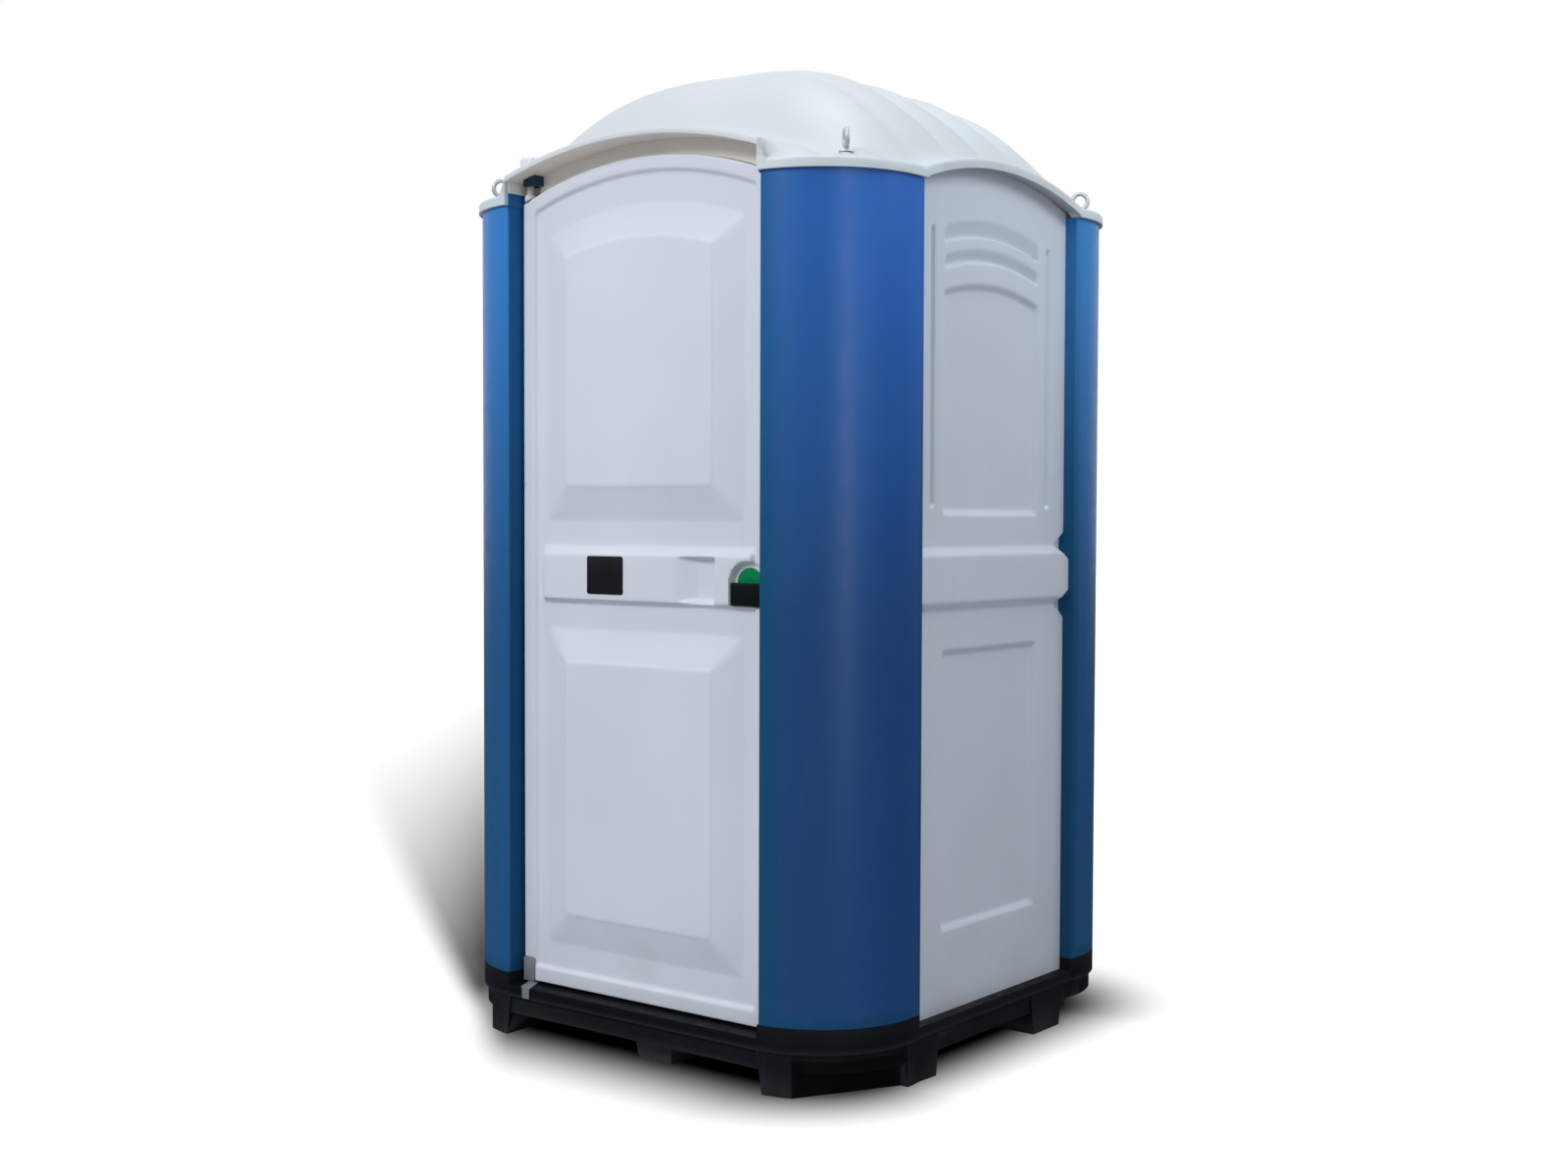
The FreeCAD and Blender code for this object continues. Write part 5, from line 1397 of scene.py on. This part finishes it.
# %% Softened copies
def softened(node, body, width, segments, moved=None, finish=None):
    """Bevelled copy of a CAD node."""
    source = frame["nodes"][node]
    bm = bmesh.new()
    bm.from_mesh(source.data)
    bm.transform(source.matrix_world)
    bmesh.ops.remove_doubles(bm, verts=bm.verts, dist=same_point)
    bmesh.ops.dissolve_limit(bm, angle_limit=nearly_flat, verts=bm.verts, edges=bm.edges)
    if moved:
        for v in bm.verts:
            v.co = Vector(moved(*(v.co / MM))) * MM
    mesh = applied(finished_mesh(bm, "softened"), "BEVEL", {
        "width": width * MM, "segments": segments, "limit_method": "ANGLE",
        "angle_limit": bevelled_from, "harden_normals": False, "miter_outer": "MITER_ARC",
        "use_clamp_overlap": True})
    outward(mesh)
    add_piece(node + "_moulded", mesh, slot_of[node], body, [node], finish=finish)


for node, (body, width, segments, special) in softened_nodes.items():
    softened(node, body, width, segments, **special)

# %% [markdown]
# Between the columns' returns and the ends of the front hood a narrow gap is left, where daylight
# would show. The real moulding turns down there, so a thin lining closes it on each side, in the
# header's warm tone of painted shade.

# %% Lining at the hood's ends
lining_top = 1911.5
lining = joined([cheek(side, return_top, lining_top) for side in (-1, 1)])
# The lining wears the header's warm tone of painted shade.
add_piece("hood_end_lining", lining, "panel_white", "cabin", finish=header_warm_shade)

# %% [markdown]
# The lifting eyes are forged rings on a round collar. A ring is a small circle swept round a large
# one, and collar and bolt are turned from a profile. One eye is modelled at the origin, and
# Geometry Nodes set a copy of it, turned to the diagonal, at each corner.


# %% Turned shapes
def on_circle(radius, step, steps):
    a = 2 * math.pi * step / steps
    return radius * math.cos(a), radius * math.sin(a)


def lathe(profile, sides=24):
    """Mesh turned round Z from a profile of (radius, height), closed at both ends."""
    vertices = [(*on_circle(radius, i, sides), height)
                for radius, height in profile for i in range(sides)]
    faces = []
    for ring in range(len(profile) - 1):
        for i in range(sides):
            a, b = ring * sides + i, ring * sides + (i + 1) % sides
            faces.append((a, b, b + sides, a + sides))
    faces.append(tuple(range(sides))[::-1])
    faces.append(tuple(range(len(vertices) - sides, len(vertices))))
    return mesh_from(vertices, faces)


def torus(ring_radius, section_radius, height, around=40, section=14):
    """Upright ring in the XZ plane, its centre at height."""
    vertices = []
    faces = []
    for i in range(around):
        for j in range(section):
            out, y = on_circle(section_radius, j, section)
            x, z = on_circle(ring_radius + out, i, around)
            vertices.append((x, y, height + z))
            k = (i + 1) % around
            m = (j + 1) % section
            faces.append((i * section + j, k * section + j, k * section + m, i * section + m))
    return mesh_from(vertices, faces)


print("turned shapes are made from rings of points")


# %% Geometry Nodes tree that sets copies of a piece at points
def placing_tree(template, slot):
    tree, n, entry, size_input = geometry_tree("set_" + template.name, "Points", "Size")
    part = n.add("GeometryNodeObjectInfo", {"Object": template}).outputs["Geometry"]
    turn = n.add("GeometryNodeInputNamedAttribute", {"Name": "turn"}, data_type="FLOAT_VECTOR")
    placed = n.add("GeometryNodeInstanceOnPoints", {
        "Points": entry["Points"], "Instance": part, "Rotation": turn.outputs["Attribute"],
        "Scale": entry["Size"]})
    end_tree(n, placed.outputs["Instances"], slot)
    return tree, size_input


def copies(template_mesh, places, turns, slot, size=1.0):
    """One mesh of the template set at each place, turned round Z by so many degrees."""
    template = in_scene("template", template_mesh)
    cloud = bpy.data.meshes.new("places")
    cloud.from_pydata([tuple(c * MM for c in place) for place in places], [], [])
    turn_of = cloud.attributes.new("turn", "FLOAT_VECTOR", "POINT")
    for i, degrees in enumerate(turns):
        turn_of.data[i].vector = (0.0, 0.0, math.radians(degrees))
    mesh = grown(cloud, *placing_tree(template, slot), size)
    bpy.data.objects.remove(template)
    return mesh


print("copies are set at points by one tree")


# %% Lifting eyes
galvanised = moulded_finish("galvanised_steel", (0.50, 0.53, 0.56), 0.32, 0.50, grain=400.0,
                            depth=0.0002, shine=0.5, metal=0.35)
ring_middle, ring_section, ring_height = 18.0, 5.2, 27.5
collar_profile = [(15, 0), (15, 2.5), (14, 4.5), (8, 6.2), (6.5, 9), (5, 11)]
bolt_profile = [(6, -59), (6, 1)]
eye = joined([torus(ring_middle, ring_section, ring_height), lathe(collar_profile),
              lathe(bolt_profile)])
corners = [(side, end) for side in (1, -1) for end in (1, -1)]
eyes_mesh = copies(eye, [(side * eye_x, end * eye_y, eye_seat) for side, end in corners],
                   [45 * side * end for side, end in corners], "zinc_steel")
add_piece("lifting_rings", eyes_mesh, "zinc_steel", "cabin", ["lifting_eyes"], finish=galvanised)

# %% [markdown]
# The stage is a wide white floor. To the camera it reads as plain white, by a glow that only camera
# rays see, and the glow is taken back where the cabin shades it. Two shades lie on the floor: a
# soft one close round the base, by the distance from the base's rounded outline, and a long one
# cast away behind the cabin's left side, which widens and fades as it goes. Its sizes are in
# metres.

# %% Shades on the floor
view_ahead = Vector((-math.sin(camera_yaw), math.cos(camera_yaw), 0.0))
view_right = Vector((math.cos(camera_yaw), math.sin(camera_yaw), 0.0))
cabin_left_slope = 0.1595  # of the cabin's left edge against the middle of the view
contact_from, contact_side, contact_more_in_front = 0.142, 0.255, 0.125
contact_fades_left = (0.045, -0.065)
cast_start = 4.6
cast_comes, cast_goes = (4.25, 4.75), (19.0, 11.0)  # distances from the camera
cast_fade, cast_middle, cast_half = (0.0136, 0.166), (0.14, 0.031), (0.03, 0.040)
cast_most, cast_narrowest = 0.92, 0.02
left_per_length, left_per_metre_aside = 0.3679, 0.1084  # shares of the shade
floor_bounce = (0.40, 0.41, 0.43)
floor_mirrored = (0.10, 0.10, 0.11)
floor_seen = (0.28, 0.28, 0.28)


def contact_light(f, left_of):
    """How much light is left close round the base."""
    side_way = f.most(f.minus(f.absolute(f.axis("X")), corner_centre[0] * MM), 0.0)
    front_way = f.most(f.minus(f.absolute(f.axis("Y")), corner_centre[1] * MM), 0.0)
    squares = f.plus(f.math("POWER", side_way, 2.0), f.math("POWER", front_way, 2.0))
    outside = f.minus(f.math("SQRT", squares), contact_from)
    turned = f.math("DIVIDE", front_way, f.most(f.plus(side_way, front_way), 0.001))
    softness = f.line(turned, contact_more_in_front, contact_side)
    near = f.span(f.math("DIVIDE", outside, softness), 1.0, 0.0)
    return f.minus(1.0, f.times(near, f.span(left_of, *contact_fades_left)))


def cast_light(f, depth, left_of):
    """How much light is left in the long shade, whose middle and half width grow on the way."""
    behind = f.minus(depth, cast_start)
    lengths = f.times(behind, f.line(behind, *cast_fade))
    fading = f.math("MINIMUM", f.math("POWER", left_per_length, lengths), cast_most)
    sideways = f.math("POWER", left_per_metre_aside, f.most(left_of, 0.0))
    middle = f.line(behind, *cast_middle)
    half = f.most(f.line(behind, *cast_half), cast_narrowest)
    across = f.span(f.math("DIVIDE", f.minus(left_of, middle), half), 1.0, -1.0)
    across = f.times(across, f.span(left_of, -0.5, -0.2))
    reach = f.times(fading, sideways, f.span(depth, *cast_comes), f.span(depth, *cast_goes))
    return f.minus(1.0, f.times(across, reach))


print("the long shade starts", cast_start, "m from the camera")


# %% Floor
floor_half, floor_below = 30.0, 0.0005
glow_near, glow_far = 0.85, 1.02


def floor_finish():
    f = Finish("white_floor", Roughness=0.9, Specular_IOR_Level=0.0,
               Emission_Color=(1.0, 1.0, 1.0, 1.0))
    ray = f.add("ShaderNodeLightPath").outputs
    depth = f.along(view_ahead, camera_place)
    left_of = f.minus(f.times(f.along(view_right, camera_place), -1.0),
                      f.times(depth, cabin_left_slope))
    light = f.times(contact_light(f, left_of), cast_light(f, depth, left_of))
    bounce = f.mix(ray["Is Glossy Ray"], floor_bounce, floor_mirrored)
    f.finish(f.mix(ray["Is Camera Ray"], bounce, f.mix(light, black, floor_seen)))
    glow = f.span(depth, 4.5, 11.0, glow_near, glow_far)
    glow = f.times(light, ray["Is Camera Ray"], glow)
    f.put(f.shader.inputs["Emission Strength"], glow)
    return f.material


bm = bmesh.new()
bmesh.ops.create_grid(bm, x_segments=1, y_segments=1, size=floor_half)
floor = in_scene("floor", finished_mesh(bm, "floor"))
floor.location.z = -floor_below
floor.data.materials.append(floor_finish())
print("floor", [round(side, 1) for side in floor.dimensions[:2]], "m")

# %% [markdown]
# The sky is white to the camera, weak as a light, and graded in the reflections: dim near the
# ground, brighter overhead and behind the cabin, so that satin plastic gets its soft sheen without
# being lit.

# %% Sky
sky_light = 0.38
world = bpy.data.worlds.new("pale_sky")
bpy.context.scene.world = world
world.use_nodes = True
n = Nodes(world.node_tree)
ray = n.add("ShaderNodeLightPath").outputs
way = n.add("ShaderNodeTexCoord").outputs["Generated"]
height = n.add("ShaderNodeSeparateXYZ", {0: way}).outputs["Z"]
overhead = n.span(height, -0.02, 0.30, 0.10, 0.75, easing="LINEAR")
backdrop = n.span(n.dot(way, view_ahead), 0.25, 0.90, 0.0, 0.90)
level = n.blend(ray["Is Glossy Ray"], sky_light, n.most(overhead, backdrop))
back = n.nodes["Background"]
n.put(back.inputs["Color"], (1.0, 1.0, 1.0, 1.0))
n.put(back.inputs["Strength"], n.blend(ray["Is Camera Ray"], level, 1.0))
print("sky", world.name, "at", sky_light)

# %% [markdown]
# Five soft lamps make the studio light. The key stands high at the front left, and a broad one
# hangs overhead. On the right a small lamp lifts the side wall's top, a weak one fills the side,
# and a strip that only reflections see draws the pale streak along the near column.


# %% Lamps, in metres and watts
def lamp(name, place, target, width, height, watts, colour=(1.0, 1.0, 1.0), mirrored_only=False):
    data = bpy.data.lights.new(name, "AREA")
    data.shape = "ELLIPSE" if width == height else "RECTANGLE"
    data.size = width
    data.size_y = height
    data.energy = watts
    data.color = colour
    light = in_scene(name, data)
    light.location = place
    light.rotation_euler = (Vector(target) - Vector(place)).to_track_quat("-Z", "Y").to_euler()
    light.visible_camera = False
    light.visible_diffuse = not mirrored_only
    print("lamp", name, watts, "W")


lamp("key", (-1.0, -6.0, 5.0), (0, 0, 1.0), 2.4, 2.4, 238.0)
lamp("side", (1.9, 0.3, 2.7), (0.55, 0.0, 1.75), 0.9, 0.9, 11.0, (0.88, 0.96, 1.0))
lamp("strip", (5.2, -3.0, 1.9), (0.5, -0.4, 1.3), 0.9, 2.8, 46.0, mirrored_only=True)
lamp("side_fill", (5.2, -1.0, 2.2), (0.5, 0.0, 1.2), 1.5, 1.5, 7.0)
lamp("overhead", (0.7, -0.3, 6.0), (0, 0, 1.5), 3.6, 3.6, 100.0, (0.96, 0.98, 1.0))
bpy.context.scene.view_settings.view_transform = "Standard"
